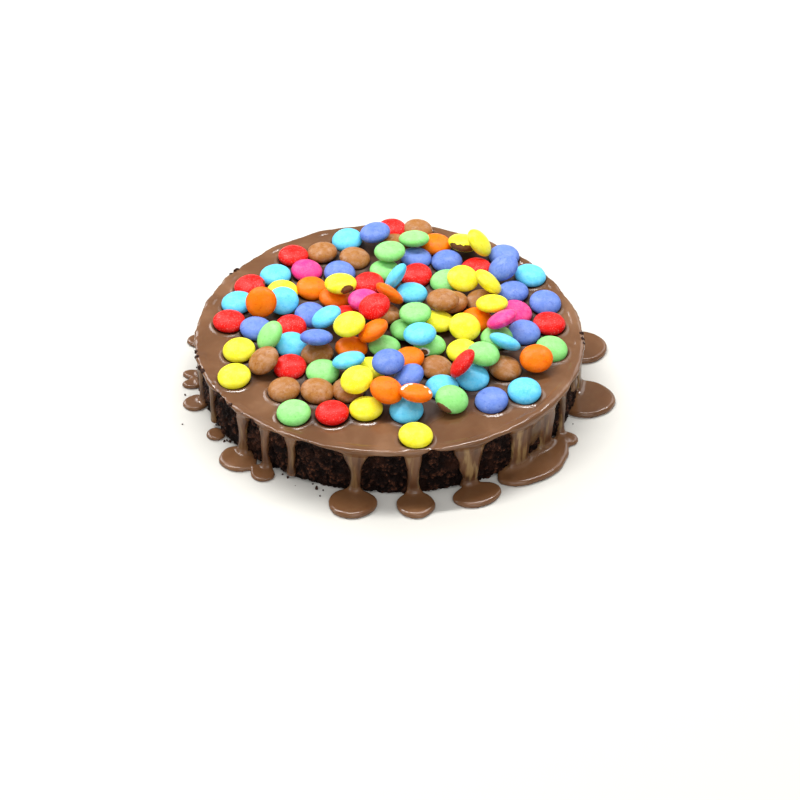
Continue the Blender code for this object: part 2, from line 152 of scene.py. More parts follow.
Run = namedtuple("Run", "angle top_width width end proud")
RUNS = [
    Run(-179.4, 5.0, 3.2, 0, 1.5),
    Run(-174.8, 5.0, 3.2, 0, 1.5),
    Run(-166, 6.0, 4.0, 0, 1.6),
    Run(-154, 6.0, 3.4, 1.6, 1.5),
    Run(-137.3, 9.0, 6.0, 0, 1.8),
    Run(-128.2, 8.0, 4.4, 0, 1.7),
    Run(-119, 7.5, 4.2, 1.2, 1.7),
    Run(-99.4, 16.0, 5.8, 0, 2.2),
    Run(-82.9, 10.0, 6.0, 0, 2.0),
    Run(-66.6, 19.0, 7.6, 0, 2.0),
    Run(-49.8, 11.0, 9.5, 0, 1.9),
    Run(-44, 28.0, 26.0, 10.0, 1.4),
    Run(-38.3, 10.0, 8.6, 0, 1.9),
    Run(-29.6, 8.0, 4.2, 0, 1.7),
    Run(-19.5, 9.0, 7.0, 13.0, 1.6),
    Run(-6, 18.0, 16.0, 0, 1.7),
    Run(9, 17.0, 12.0, 0, 1.7),
    Run(27, 9.0, 5.0, 0, 1.8),
    Run(41, 8.0, 4.4, 6.0, 1.6),
    Run(58, 12.0, 6.2, 0, 2.0),
    Run(77, 9.0, 5.0, 3.0, 1.7),
    Run(93, 14.0, 8.0, 0, 2.0),
    Run(112, 8.0, 4.6, 8.0, 1.6),
    Run(129, 10.0, 6.0, 0, 1.9),
    Run(150, 9.0, 5.2, 0, 1.8),
    Run(164.3, 7.0, 4.2, 0, 1.6),
]
# From a run's end up to its root: level, and its shares of the width and of how far it stands out.
RUN_LEVEL = (0, 0.12, 0.25, 0.55, 0.82, 1)
RUN_WIDTH = (1.15, 1.0, 0.97, 0.95, 1, 1)
RUN_STAND = (1, 0.9, 0.8, 0.75, 0.8, 0.6)
# How much narrower it is at its waist, how it sways and is uneven in width and surface, how deep it is
# rooted in the brownie, and how far its joint with the cap is filled in.
RUN_WAIST = 0.5
RUN_SWAY = 0.35
RUN_SWAY_RATE = 0.33
RUN_UNEVEN = 0.07
RUN_RIPPLE = 0.05
RUN_RIPPLE_BY_WIDTH = 0.006
RUN_ROOT = 1.5
RUN_BLEND = 2.2
# A run widens upwards by a power of the level: a low power for a long taper, a high one for a late flare.
# FLARE is the share of its wider top that each of its sides takes.
FLARE = 0.47
TAPER = 5.0
TAPERS = {-66.6: 1.6, -99.4: 3.6, -82.9: 3.0, -44: 3.0, -137.3: 4.0}

Puddle = namedtuple("Puddle", "angle distance half_width half_depth height")
PUDDLES = [
    Puddle(-179.4, 93.0, 3.4, 5.0, 2.0),
    Puddle(-174.6, 93.0, 3.2, 4.8, 2.0),
    Puddle(-165.4, 93.0, 5.6, 6.0, 2.2),
    Puddle(-149.5, 92.0, 4.4, 4.0, 1.8),
    Puddle(-136.2, 94.0, 9.0, 8.0, 2.4),
    Puddle(-126.8, 94.0, 5.6, 5.0, 2.0),
    Puddle(-99.3, 97.5, 10.8, 9.3, 2.9),
    Puddle(-83, 98.0, 8.6, 8.3, 2.8),
    Puddle(-66.4, 98.5, 11.2, 7.6, 2.7),
    Puddle(-46, 95.5, 21.0, 10.0, 2.9),
    Puddle(-31.8, 95.5, 4.4, 5.0, 2.2),
    Puddle(-12.9, 95.0, 13.6, 12.8, 3.0),
    Puddle(12.2, 95.0, 12.5, 12.0, 3.0),
    Puddle(27, 93.0, 6.0, 6.5, 2.2),
    Puddle(58, 94.0, 9.0, 9.0, 2.7),
    Puddle(93, 95.0, 12.0, 10.0, 2.9),
    Puddle(129, 94.0, 8.0, 8.0, 2.5),
    Puddle(150, 93.5, 7.0, 7.0, 2.4),
    Puddle(164.3, 94.5, 5.6, 6.8, 2.2),
]
# How uneven a puddle's outline is; then, as shares of its height: its top, how much lower that is at the
# edge, its dimples and its rounding.
PUDDLE_OUTLINE = 0.25
PUDDLE_LEVEL = 0.86
PUDDLE_DOME = 0.08
PUDDLE_DIMPLE = 0.02
PUDDLE_ROUNDING = 0.45
PUDDLE_BLEND = 2.6

CANDY_DIAMETER = 15.4
CANDY_THICKNESS = 6.4

# The first course of candies, which lies on the glaze: where each fell. Those further from the middle than
# SET_IN_FROM are set in the glaze, and lean to the front by a drawn tilt.
FIRST_COURSE = {
    "red": [(-25, -65), (-75, 5), (-67, 34), (-47, 60), (75, 3), (1, 83)]
    + [(-46, 0), (-45, -31), (42, 49), (-10, 36), (13, 43), (-18, 8)],
    "orange": [(23, 70), (-16, -17), (10, -26), (41, 6), (-27, 21), (-37, 32)],
    "yellow": [(12, -81), (-10, -62), (-70, -38), (-69, -18), (-7, -33), (34, -19), (24, 4), (-51, 29)],
    "green": [(-42, -65), (75, -17), (-30, -35), (-2, -16), (20, -17), (50, -8), (-2, 47), (27, 38), (9, -4)],
    "turquoise": [(8, -63), (61, -49), (-72, 20), (-55, 43), (-21, 74), (68, 43), (24, -46)]
    + [(-45, -14), (38, -39), (12, 27)],
    "blue": [(46, -56), (56, 60), (74, 20), (-62, -1), (63, -4), (59, 29), (28, 55), (13, 58)]
    + [(-24, 45), (-37, 10)],
    "brown": [(-47, -48), (-32, -49), (14, 83), (-33, -21), (-18, -48), (53, -32), (22, -32), (31, 17)]
    + [(44, 21), (-17, 58), (-33, 63), (2, 70), (-1, 9)],
    "pink": [(60, 12), (-40, 47), (-13, 21)],
}
SET_IN_FROM = 37
SET_IN_DEPTH = 1.1
SET_IN_TILTS = (5, 16)
SET_IN_SWING = 45
SET_IN_SEED = 49

# The candies that lie on the first course, in the order in which they lie on each other: where each fell,
# and the tilt and the way that its upper face looks, in degrees.
SECOND_COURSE = [
    ("yellow", 35, 69, 5, 40),
    ("blue", -6, 79, 15, -155),
    ("green", 12, 73, 6, 120),
    ("green", -1, 62, 8, -120),
    ("blue", 56, 48, 30, -130),
    ("brown", 24, 21, 8, -90),
    ("yellow", 34, 32, 20, -90),
    ("yellow", -23, 34, 5, -160),
    ("turquoise", -49, 21, 30, -105),
    ("orange", -59, 16, 40, -125),
    ("red", -8, 15, 25, -155),
    ("orange", -6, -4, 30, 170),
    ("turquoise", -28, 7, 30, 155),
    ("yellow", -17, 1, 12, -115),
    ("green", 11, 10, 8, -110),
    ("turquoise", 13, -7, 10, -120),
    ("yellow", 47, 18, 15, 130),
    ("pink", 51, 7, 25, 150),
    ("yellow", 34, -1, 20, -90),
    ("green", 43, -22, 15, -50),
    ("turquoise", 52, -15, 30, 30),
    ("orange", 66, -25, 25, -120),
    ("blue", -32, -9, 12, 85),
    ("brown", -57, -27, 30, -130),
    ("blue", 10, -39, 20, 175),
    ("blue", 1, -28, 8, -90),
    ("turquoise", -17, -27, 20, 110),
    ("yellow", -13, -41, 15, -105),
    ("orange", -2, -49, 25, -60),
    ("orange", 11, -51, 20, 70),
    ("green", 27, -56, 20, -75),
    ("red", 32, -29, 55, 170),
    ("orange", -1, 24, 40, 15),
    ("yellow", 45, 69, 50, -10),
    ("yellow", 47, 36, 45, -10),
    ("green", -55, -8, 50, 180),
    ("turquoise", 3, 32, 60, 185),
]

# Loose candies come to rest on a height map in steps of CELL, in the lowest of the poses close to their own.
# The place where one fell is at FIRST_LEVEL, and its middle is LEAN further to the front for each mm that it
# comes to rest higher.
FIRST_LEVEL = 27.6
LEAN = 1.3
FIRST_TILTS = (4, 8, 12)
FIRST_WAYS = (-150, -120, -90, -60, -30)
TILT_NUDGES = (-5, 0, 5)
WAY_NUDGES = (-20, 0, 20)
SIDE_NUDGES = (-1.2, 0, 1.2)
FRONT_NUDGES = range(-1, 20)
STRAY_COST = 1.0
CELL = 0.5
MAP_HALF = 110.0

# Marks that some of the candies bear, and painted highlights set out like them: which candy, by its colour
# and where it fell; the mark's turn about the candy and its share of the way out to the rim; half its length
# round the candy and half its width.
Mark = namedtuple("Mark", "colour x y turn share long wide")
CHIPS = [
    Mark("yellow", -23, 34, -60, 0.99, 3.6, 2.6),
    Mark("yellow", 35, 69, -132, 1.0, 2.7, 1.9),
    Mark("yellow", 35, 69, -105, 1.0, 3.4, 2.4),
    Mark("yellow", 35, 69, -78, 1.0, 3.6, 2.5),
    Mark("green", 20, -17, -112, 0.96, 1.9, 1.4),
    Mark("red", -67, 34, 4, 0.98, 1.2, 0.9),
]
# The pale marks: the white rim round the green candy's chip, and painted highlights on the orange one.
PALE_RIMS_AND_HIGHLIGHTS = [
    Mark("orange", 11, -51, -175, 0.84, 1.5, 0.9),
    Mark("orange", 11, -51, 168, 0.66, 1.7, 0.9),
    Mark("orange", 11, -51, 138, 0.50, 1.3, 0.9),
    Mark("orange", 11, -51, 28, 0.56, 0.9, 0.8),
    Mark("orange", 11, -51, -8, 0.80, 1.4, 0.9),
    Mark("green", 20, -17, -112, 0.94, 2.7, 2.1),
]
SMEARS = [
    Mark("green", 27, -56, -122, 0.97, 5.6, 1.4),
]

# How strongly a shell's pale speckles show.
SPECKLES = {"red": 0.16, "orange": 0.03, "brown": 0.05}
# How much paler a shell's mottled patches are; on brown ones they also paint a greyish sheen.
PALER = {"red": 0.04, "orange": 0.01, "brown": 0.2}
SHELL_COLOURS = {
    "red": (0.84, 0.010, 0.005),
    "orange": (0.93, 0.205, 0.0),
    "yellow": (0.96, 0.88, 0.035),
    "green": (0.32, 0.78, 0.24),
    "turquoise": (0.155, 0.66, 0.95),
    "blue": (0.155, 0.26, 0.68),
    "brown": (0.42, 0.175, 0.042),
    "pink": (0.92, 0.06, 0.30),
}


# ---------------------------------------------------------------- the heap, by the rule of the solids


class Heap:
    """The candies where they come to rest, each dropped on a height map of the glaze and those before it."""

    def __init__(self):
        cells = int(2 * MAP_HALF / CELL)
        self.height = np.full((cells, cells), CAKE_HEIGHT)
        self.placed = []

    def cells(self, pose, x, y):
        i = int((x + MAP_HALF) / CELL)
        j = int((y + MAP_HALF) / CELL)
        return pose["cells"][0] + i, pose["cells"][1] + j

    def rest(self, pose, x, y):
        """Height at which a candy's middle comes to rest in this pose at this place."""
        return float(np.max(self.height[self.cells(pose, x, y)] - pose["lower"]))

    def put(self, colour, x, y, z, pose, loose):
        cells = self.cells(pose, x, y)
        self.height[cells] = np.maximum(self.height[cells], z + pose["upper"])
        self.placed.append({"colour": colour, "at": (x, y, z), "turn": pose["turn"], "loose": loose})

    def set_in(self, colour, x, y, draw):
        """A candy of the first course, pressed into the glaze and leaning a little to the front."""
        pose = candy_pose(draw.uniform(*SET_IN_TILTS), FRONT + draw.uniform(-SET_IN_SWING, SET_IN_SWING))
        self.put(colour, x, y, CAKE_HEIGHT - SET_IN_DEPTH + 0.5 * CANDY_THICKNESS, pose, False)

    def settle(self, colour, x, y, poses):
        """A loose candy, left near its place in the lowest of the poses."""
        best = None
        for dx in SIDE_NUDGES:
            for dy in FRONT_NUDGES:
                for pose in poses:
                    z = self.rest(pose, x + dx, y - dy)
                    cost = z + STRAY_COST * abs(dy - LEAN * (z - FIRST_LEVEL))
                    if best is None or cost < best[0]:
                        best = (cost, x + dx, y - dy, z, pose)
        _, x, y, z, pose = best
        self.put(colour, x, y, z, pose, True)


def candy_pose(tilt, way):
    """A tilt, with the upper face looking to a compass way, and the candy's height over the map's cells.

    The heights are those of the candy grown by half the gap that it keeps to its neighbours.
    """
    turn = Matrix.Rotation(math.radians(way), 3, "Z")
    turn = turn @ Matrix.Rotation(math.radians(tilt), 3, "Y") @ turn.transposed()
    a = 0.5 * CANDY_DIAMETER + PIECE_GAP
    c = 0.5 * CANDY_THICKNESS + PIECE_GAP
    form = np.array(turn) @ np.diag([1 / a**2, 1 / a**2, 1 / c**2]) @ np.array(turn).T
    reach = int(a / CELL) + 1
    steps = np.arange(-reach, reach + 1)
    i, j = np.meshgrid(steps, steps, indexing="ij")
    x, y = i * CELL, j * CELL
    slope = form[0, 2] * x + form[1, 2] * y
    flat = form[0, 0] * x * x + 2 * form[0, 1] * x * y + form[1, 1] * y * y - 1
    square = slope * slope - form[2, 2] * flat
    inside = square > 0
    root = np.sqrt(square[inside])
    middle = -slope[inside]
    return {
        "turn": turn,
        "cells": (i[inside], j[inside]),
        "lower": (middle - root) / form[2, 2],
        "upper": (middle + root) / form[2, 2],
    }


def lay_heap():
    """Every candy's colour, place and turn, course by course."""
    heap = Heap()
    draw = random.Random(SET_IN_SEED)
    on_glaze = []
    for colour, places in FIRST_COURSE.items():
        for x, y in places:
            if math.hypot(x, y) > SET_IN_FROM:
                heap.set_in(colour, x, y, draw)
                heap.placed[-1]["fell"] = (x, y)
            else:
                on_glaze.append((colour, x, y))
    first_poses = [candy_pose(tilt, way) for tilt in FIRST_TILTS for way in FIRST_WAYS]
    for colour, x, y in on_glaze:
        heap.settle(colour, x, y, first_poses)
        heap.placed[-1]["fell"] = (x, y)
    for colour, x, y, tilt, way in SECOND_COURSE:
        poses = [candy_pose(tilt + more, way + swing) for more in TILT_NUDGES for swing in WAY_NUDGES]
        heap.settle(colour, x, y, poses)
        heap.placed[-1]["fell"] = (x, y)
    return heap.placed


# ---------------------------------------------------------------- meshes


def add_piece(name, points, faces, finish):
    """A piece from points in mm, shaded smooth, that rides on the cake."""
    mesh = bpy.data.meshes.new(name)
    mesh.from_pydata((np.asarray(points) * MM).tolist(), [], faces)
    mesh.shade_smooth()
    mesh.materials.append(finish)
    piece = bpy.data.objects.new(name, mesh)
    bpy.context.scene.collection.objects.link(piece)
    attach(piece, "root")
    return piece


def keep_values(piece, name, values):
    """One number for each of the piece's points, for its finish to read."""
    kept = piece.data.attributes.new(name, "FLOAT", "POINT")
    kept.data.foreach_set("value", np.asarray(values, np.float32))


def out_of_round(angle):
    oval = OVAL * np.cos(2 * (angle - OVAL_TURN))
    return oval + THREE_CORNERED * np.cos(3 * (angle - THREE_CORNERED_TURN))


def side_radius(angle, z):
    """Radius of the brownie's side without its relief."""
    tuck = np.maximum(0.0, 1 - z / FOOT_HEIGHT) ** 2
    return BROWNIE_RADIUS - SIDE_INSET + out_of_round(angle) - FOOT_UNDERCUT * tuck


class Ripples:
    """A smooth uneven field: the sum of a few waves of about one length that run all ways."""

    def __init__(self, seed, length, count=8):
        draw = random.Random(seed)
        self.waves = []
        for _ in range(count):
            way = Vector((draw.gauss(0, 1), draw.gauss(0, 1), draw.gauss(0, 1))).normalized()
            rate = 2 * math.pi / (length * draw.uniform(0.7, 1.5))
            self.waves.append((*(rate * way), draw.uniform(0, 2 * math.pi)))

    def __call__(self, x, y, z=0.0):
        total = 0
        for a, b, c, phase in self.waves:
            total = total + np.sin(a * x + b * y + c * z + phase)
        return total / math.sqrt(len(self.waves))


# ---------------------------------------------------------------- node trees


def feed(tree, socket, value):
    """A link, a colour or a plain value on one input."""
    if isinstance(value, bpy.types.NodeSocket):
        tree.links.new(value, socket)
    elif isinstance(value, tuple) and len(socket.default_value) == 4:
        socket.default_value = (*value, 1)
    else:
        socket.default_value = value


def add_node(tree, kind, settings=None, **inputs):
    """A node with its settings, and something on each input that is named; a list is joined there."""
    made = tree.nodes.new(kind)
    for name, value in (settings or {}).items():
        setattr(made, name, value)
    for name, value in inputs.items():
        socket = next(s for s in made.inputs if s.enabled and s.name == name.replace("_", " "))
        for source in value if isinstance(value, list) else [value]:
            feed(tree, socket, source)
    return made


def combine(tree, operation, first, second, kind="ShaderNodeMath"):
    """A sum, product or other joining of two values or two vectors."""
    made = tree.nodes.new(kind)
    made.operation = operation
    feed(tree, made.inputs[0], first)
    feed(tree, made.inputs[1], second)
    return made.outputs[0]


class Growth:
    """A geometry node tree that sets a solid shape at each place that it is given."""

    def __init__(self, name, **inputs):
        self.tree = bpy.data.node_groups.new(name, "GeometryNodeTree")
        self.add_socket("Places", "NodeSocketGeometry")
        self.add_socket("Pieces", "NodeSocketGeometry", "OUTPUT")
        self.finish_socket = self.add_socket("Finish", "NodeSocketMaterial").identifier
        for label, value in inputs.items():
            kind = "NodeSocketInt" if isinstance(value, int) else "NodeSocketFloat"
            self.add_socket(label, kind).default_value = value
        self.given = self.tree.nodes.new("NodeGroupInput").outputs

    def add_socket(self, label, kind, side="INPUT"):
        return self.tree.interface.new_socket(label, in_out=side, socket_type=kind)

    def node(self, kind, settings=None, **inputs):
        return add_node(self.tree, kind, settings, **inputs)

    def at(self):
        return self.node("GeometryNodeInputPosition").outputs[0]

    def own(self, name, kind="FLOAT"):
        """A value that each place has of its own."""
        made = self.node("GeometryNodeInputNamedAttribute", {"data_type": kind}, Name=name)
        return next(socket for socket in made.outputs if socket.enabled and socket.name == "Attribute")

    def join(self, operation, first, second):
        return combine(self.tree, operation, first, second)

    def vectors(self, operation, first, **more):
        """What a vector operation makes of a vector, as the node's outputs."""
        return self.node("ShaderNodeVectorMath", {"operation": operation}, Vector=first, **more).outputs

    def set_out(self, shape, **choice):
        """The shape at each place, turned and scaled as the place says, as real geometry."""
        laid = self.node(
            "GeometryNodeInstanceOnPoints",
            Points=self.given["Places"],
            Instance=shape,
            Rotation=self.own("turn", "FLOAT_VECTOR"),
            Scale=self.own("form", "FLOAT_VECTOR"),
            **choice,
        )
        return self.node("GeometryNodeRealizeInstances", Geometry=laid.outputs[0]).outputs[0]

    def move(self, shapes, **how):
        return self.node("GeometryNodeSetPosition", Geometry=shapes, **how).outputs[0]

    def push_out(self, shapes, distance):
        """The shapes with each point moved outwards by a distance."""
        outwards = self.node("GeometryNodeInputNormal").outputs[0]
        return self.move(shapes, Offset=self.vectors("SCALE", outwards, Scale=distance)[0])

    def end_with(self, shapes):
        smooth = self.node("GeometryNodeSetShadeSmooth", Geometry=shapes).outputs[0]
        dressed = self.node("GeometryNodeSetMaterial", Geometry=smooth, Material=self.given["Finish"])
        end = self.tree.nodes.new("NodeGroupOutput")
        self.tree.links.new(dressed.outputs[0], end.inputs["Pieces"])

    def piece(self, name, places, values, finish):
        """The plain mesh that the tree makes from places in mm, as a piece that rides on the cake."""
        start = bpy.data.meshes.new(f"{name}_places")
        start.from_pydata((np.asarray(places) * MM).tolist(), [], [])
        for label, numbers in values.items():
            numbers = np.asarray(numbers, np.float32)
            kind = "FLOAT_VECTOR" if numbers.ndim > 1 else "FLOAT"
            kept = start.attributes.new(label, kind, "POINT")
            kept.data.foreach_set("vector" if numbers.ndim > 1 else "value", numbers.ravel())
        holder = bpy.data.objects.new(f"{name}_places", start)
        bpy.context.scene.collection.objects.link(holder)
        modifier = holder.modifiers.new("growth", "NODES")
        modifier.node_group = self.tree
        modifier[self.finish_socket] = finish
        graph = bpy.context.evaluated_depsgraph_get()
        mesh = bpy.data.meshes.new_from_object(holder.evaluated_get(graph))
        mesh.name = name
        bpy.data.objects.remove(holder)
        # No finish reads the ball's own UV map, or what only the tree needs.
        for layer in list(mesh.uv_layers):
            mesh.uv_layers.remove(layer)
        for label in ("size", "form", "turn"):
            if label in mesh.attributes:
                mesh.attributes.remove(mesh.attributes[label])
        piece = bpy.data.objects.new(name, mesh)
        bpy.context.scene.collection.objects.link(piece)
        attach(piece, "root")
        return piece


# ---------------------------------------------------------------- the glaze


TOP_SWELLS = Ripples(seed=3, length=34)
TOP_DIMPLES = Ripples(seed=4, length=9)
RUN_RIPPLES = Ripples(seed=5, length=9)
SKIRT_RIPPLES = Ripples(seed=6, length=5)
OUTLINE_RIPPLES = Ripples(seed=7, length=12)


def smooth_min(a, b, reach):
    """The lower of two distances, with the corner between them filled in."""
    overlap = np.maximum(reach - np.abs(a - b), 0) / reach
    return np.minimum(a, b) - 0.25 * reach * overlap * overlap


def round_corner(u, v, radius):
    """Distance to a body that lies below two surfaces that meet in a round edge."""
    inner = np.minimum(np.maximum(u, v) + radius, 0)
    return inner + np.hypot(np.maximum(u + radius, 0), np.maximum(v + radius, 0)) - radius


def glaze_top(x, y, candies):
    """Height of the glaze on top: almost level, and drawn up where it meets a candy that is set in it."""
    z = CAKE_HEIGHT - TOP_DROP + TOP_SWELL * TOP_SWELLS(x, y) + TOP_DIMPLE * TOP_DIMPLES(x, y)
    for candy in candies:
        if candy["loose"]:
            continue
        dx, dy = x - candy["at"][0], y - candy["at"][1]
        near = np.flatnonzero((np.abs(dx) < RING_REACH) & (np.abs(dy) < RING_REACH))
        apart = np.maximum(np.hypot(dx[near], dy[near]) - RING_EDGE * CANDY_DIAMETER, 0)
        z[near] += sum(ring.height * np.exp(-(((apart - ring.out) / ring.width) ** 2)) for ring in RINGS)
    return z


def crowding(points, candies):
    """For each point of the glaze, how close the nearest candy is and how thickly candies lie round it, for
    painted shade.
    """
    contact = np.zeros(len(points))
    crowd = np.zeros(len(points))
    for candy in candies:
        apart = np.hypot(points[:, 0] - candy["at"][0], points[:, 1] - candy["at"][1])
        apart = np.maximum(apart - SHADOW_EDGE * CANDY_DIAMETER, 0)
        if candy["at"][2] - CAKE_HEIGHT < CONTACT_RISE:
            contact = np.maximum(contact, np.exp(-((apart / CONTACT_REACH) ** 2)))
        crowd += np.exp(-((apart / CROWD_REACH) ** 2))
    on_top = points[:, 2] > BROWNIE_TOP + 1
    return contact * on_top, np.clip((crowd - CROWD_FROM) / CROWD_OVER, 0, 1) * on_top


def off_middle(run, angle):
    """How far round the cake an angle is from the middle of a run, in mm."""
    return np.angle(np.exp(1j * (angle - math.radians(run.angle)))) * CAKE_RADIUS


def skirt_low(angle):
    """Height of the skirt's lower edge."""
    along = 0.5 * CAKE_RADIUS * angle
    return np.interp(np.degrees(angle), *zip(*SKIRT_EDGE)) + SKIRT_WAVE * SKIRT_RIPPLES(along, 0 * along)


def rim_radius(angle):
    """Radius of the cap's edge, which swells out where a run of glaze leaves it."""
    swell = np.zeros_like(angle)
    for run in RUNS:
        across = off_middle(run, angle) / (0.5 * run.top_width)
        swell = np.maximum(swell, RIM_SWELL * run.proud * np.exp(-across * across))
    ripple = RIM_RIPPLE * SKIRT_RIPPLES(CAKE_RADIUS * np.cos(angle), CAKE_RADIUS * np.sin(angle))
    return CAKE_RADIUS + out_of_round(angle) + swell + ripple


def cap_distance(x, y, z, candies):
    angle = np.arctan2(y, x)
    lip = np.clip((np.hypot(x, y) - LIP_FROM) / LIP_WIDTH, 0, 1)
    low = UNDERSIDE + lip * (skirt_low(angle) - UNDERSIDE)
    share = np.clip((z - low - SKIRT_WIDENS_FROM) / SKIRT_WIDENS_OVER, 0, 1)
    share = share * share * (3 - 2 * share)
    edge = side_radius(angle, z) + PIECE_GAP + SKIRT_PROUD
    edge = edge + share * (rim_radius(angle) - edge)
    top = round_corner(z - glaze_top(x, y, candies), np.hypot(x, y) - edge, RIM_ROUNDING)
    return round_corner(top, low - z, SKIRT_ROUNDING)


def run_distance(run, x, y, z):
    angle = np.arctan2(y, x)
    top = CAKE_HEIGHT - RIM_ROUNDING
    low = run.end + (0.5 * run.width if run.end else 0)
    level = (z - low) / (top - low)
    held = np.clip(level, 0, 1)
    apart = off_middle(run, angle) + RUN_SWAY * np.sin(RUN_SWAY_RATE * z + run.angle) * (1 - level)
    half = 0.5 * np.interp(level, RUN_LEVEL, RUN_WIDTH) * run.width
    half = half + FLARE * held ** TAPERS.get(run.angle, TAPER) * (run.top_width - run.width)
    half = half * (1 + RUN_UNEVEN * RUN_RIPPLES(y, z, x)) - RUN_WAIST * np.sin(np.pi * held)
    stand = np.interp(level, RUN_LEVEL, RUN_STAND) * run.proud
    proud = np.hypot(x, y) - side_radius(angle, z)
    past = np.maximum(z - top, 0) / RIM_ROUNDING
    if run.end:
        past = past + np.maximum(low - z, 0) / (0.5 * run.width)
    across, out = apart / half, np.maximum(proud, 0) / stand
    reach = np.sqrt(across**2 + out**2 + past**2) + 1e-6
    steep = np.sqrt((across / half) ** 2 + (out / stand) ** 2 + (past / RIM_ROUNDING) ** 2) + 1e-6
    ripple = RUN_RIPPLE + RUN_RIPPLE_BY_WIDTH * run.width
    return np.maximum(reach * (reach - 1) / steep, -RUN_ROOT - proud) - ripple * RUN_RIPPLES(x, y, z)


def puddle_distance(puddle, x, y, z):
    middle = math.radians(puddle.angle)
    out = x * math.cos(middle) + y * math.sin(middle) - puddle.distance
    along = y * math.cos(middle) - x * math.sin(middle)
    out = out + along**2 / (2 * puddle.distance)
    a, b = along / puddle.half_width, out / puddle.half_depth
    reach = np.hypot(a, b) + 1e-6
    steep = np.hypot(a / puddle.half_width, b / puddle.half_depth) + 1e-6
    edge = reach * (reach - 1) / steep + PUDDLE_OUTLINE * OUTLINE_RIPPLES(x, y)
    dome = PUDDLE_LEVEL - PUDDLE_DOME * np.minimum(reach, 1) ** 2 + PUDDLE_DIMPLE * TOP_DIMPLES(x, y)
    return round_corner(edge, z - puddle.height * dome, PUDDLE_ROUNDING * puddle.height)


def glaze_distance(x, y, z, candies):
    """About how far points are outside the glaze, as flat arrays in mm; within it the values are negative."""
    value = cap_distance(x, y, z, candies)
    blended = [(run, run_distance, CAKE_RADIUS, run.top_width, RUN_BLEND) for run in RUNS]
    for puddle in PUDDLES:
        size = puddle.half_width + puddle.half_depth
        blended.append((puddle, puddle_distance, puddle.distance, size, PUDDLE_BLEND))
    for shape, distance, away, size, blend in blended:
        middle = math.radians(shape.angle)
        near = np.abs(x - away * math.cos(middle)) < size + FLOW_MARGIN
        near = np.flatnonzero(near & (np.abs(y - away * math.sin(middle)) < size + FLOW_MARGIN))
        if near.size:
            own = distance(shape, x[near], y[near], z[near])
            value[near] = smooth_min(value[near], own, blend)
    return np.maximum(value, -z)


def net_of(values, low, step):
    """Quads round the region of a grid where the values are negative, with a corner in each crossed cell."""
    cells = tuple(n - 1 for n in values.shape)
    corners = [(i, j, k) for i in (0, 1) for j in (0, 1) for k in (0, 1)]
    inside = values < 0
    count = sum(
        inside[i : i + cells[0], j : j + cells[1], k : k + cells[2]].astype(np.int8) for i, j, k in corners
    )
    crossed = np.argwhere((count > 0) & (count < 8))
    at = {c: values[tuple((crossed + c).T)] for c in corners}
    total = np.zeros((len(crossed), 3))
    hits = np.zeros(len(crossed))
    for a in corners:
        for axis in range(3):
            if a[axis]:
                continue
            b = tuple(v + (i == axis) for i, v in enumerate(a))
            hit = np.flatnonzero((at[a] < 0) != (at[b] < 0))
            share = at[a][hit] / (at[a][hit] - at[b][hit])
            place = np.tile(np.array(a, float), (len(hit), 1))
            place[:, axis] += share
            total[hit] += place
            hits[hit] += 1
    points = low + step * (crossed + total / hits[:, None])
    index = np.full(cells, -1)
    index[tuple(crossed.T)] = np.arange(len(crossed))
    faces = []
    for axis in range(3):
        others = [i for i in range(3) if i != axis]
        first = inside.take(range(0, values.shape[axis] - 1), axis)
        second = inside.take(range(1, values.shape[axis]), axis)
        edges = np.argwhere(first != second)
        edges = edges[(edges[:, others] > 0).all(1) & (edges[:, others] < np.array(cells)[others]).all(1)]
        goes_out = first[tuple(edges.T)]
        ring = []
        for back_a, back_b in ((0, 0), (1, 0), (1, 1), (0, 1)):
            cell = edges.copy()
            cell[:, others[0]] -= back_a
            cell[:, others[1]] -= back_b
            ring.append(index[tuple(cell.T)])
        ring = np.stack(ring, 1)
        flip = goes_out if axis != 1 else ~goes_out
        ring[flip] = ring[flip][:, ::-1]
        faces.append(ring[:, ::-1])
    return points, np.concatenate(faces)


def drawn_to(distance, points, rounds=3, most=0.6):
    """The points moved onto the surface that a distance describes."""
    small = 0.04
    for _ in range(rounds):
        here = distance(*points.T)
        slope = np.empty_like(points)
        for axis in range(3):
            step = np.zeros(3)
            step[axis] = small
            slope[:, axis] = (distance(*(points + step).T) - distance(*(points - step).T)) / (2 * small)
        move = here / np.maximum((slope**2).sum(1), 0.05)
        points = points - np.clip(move, -most, most)[:, None] * slope
    return points


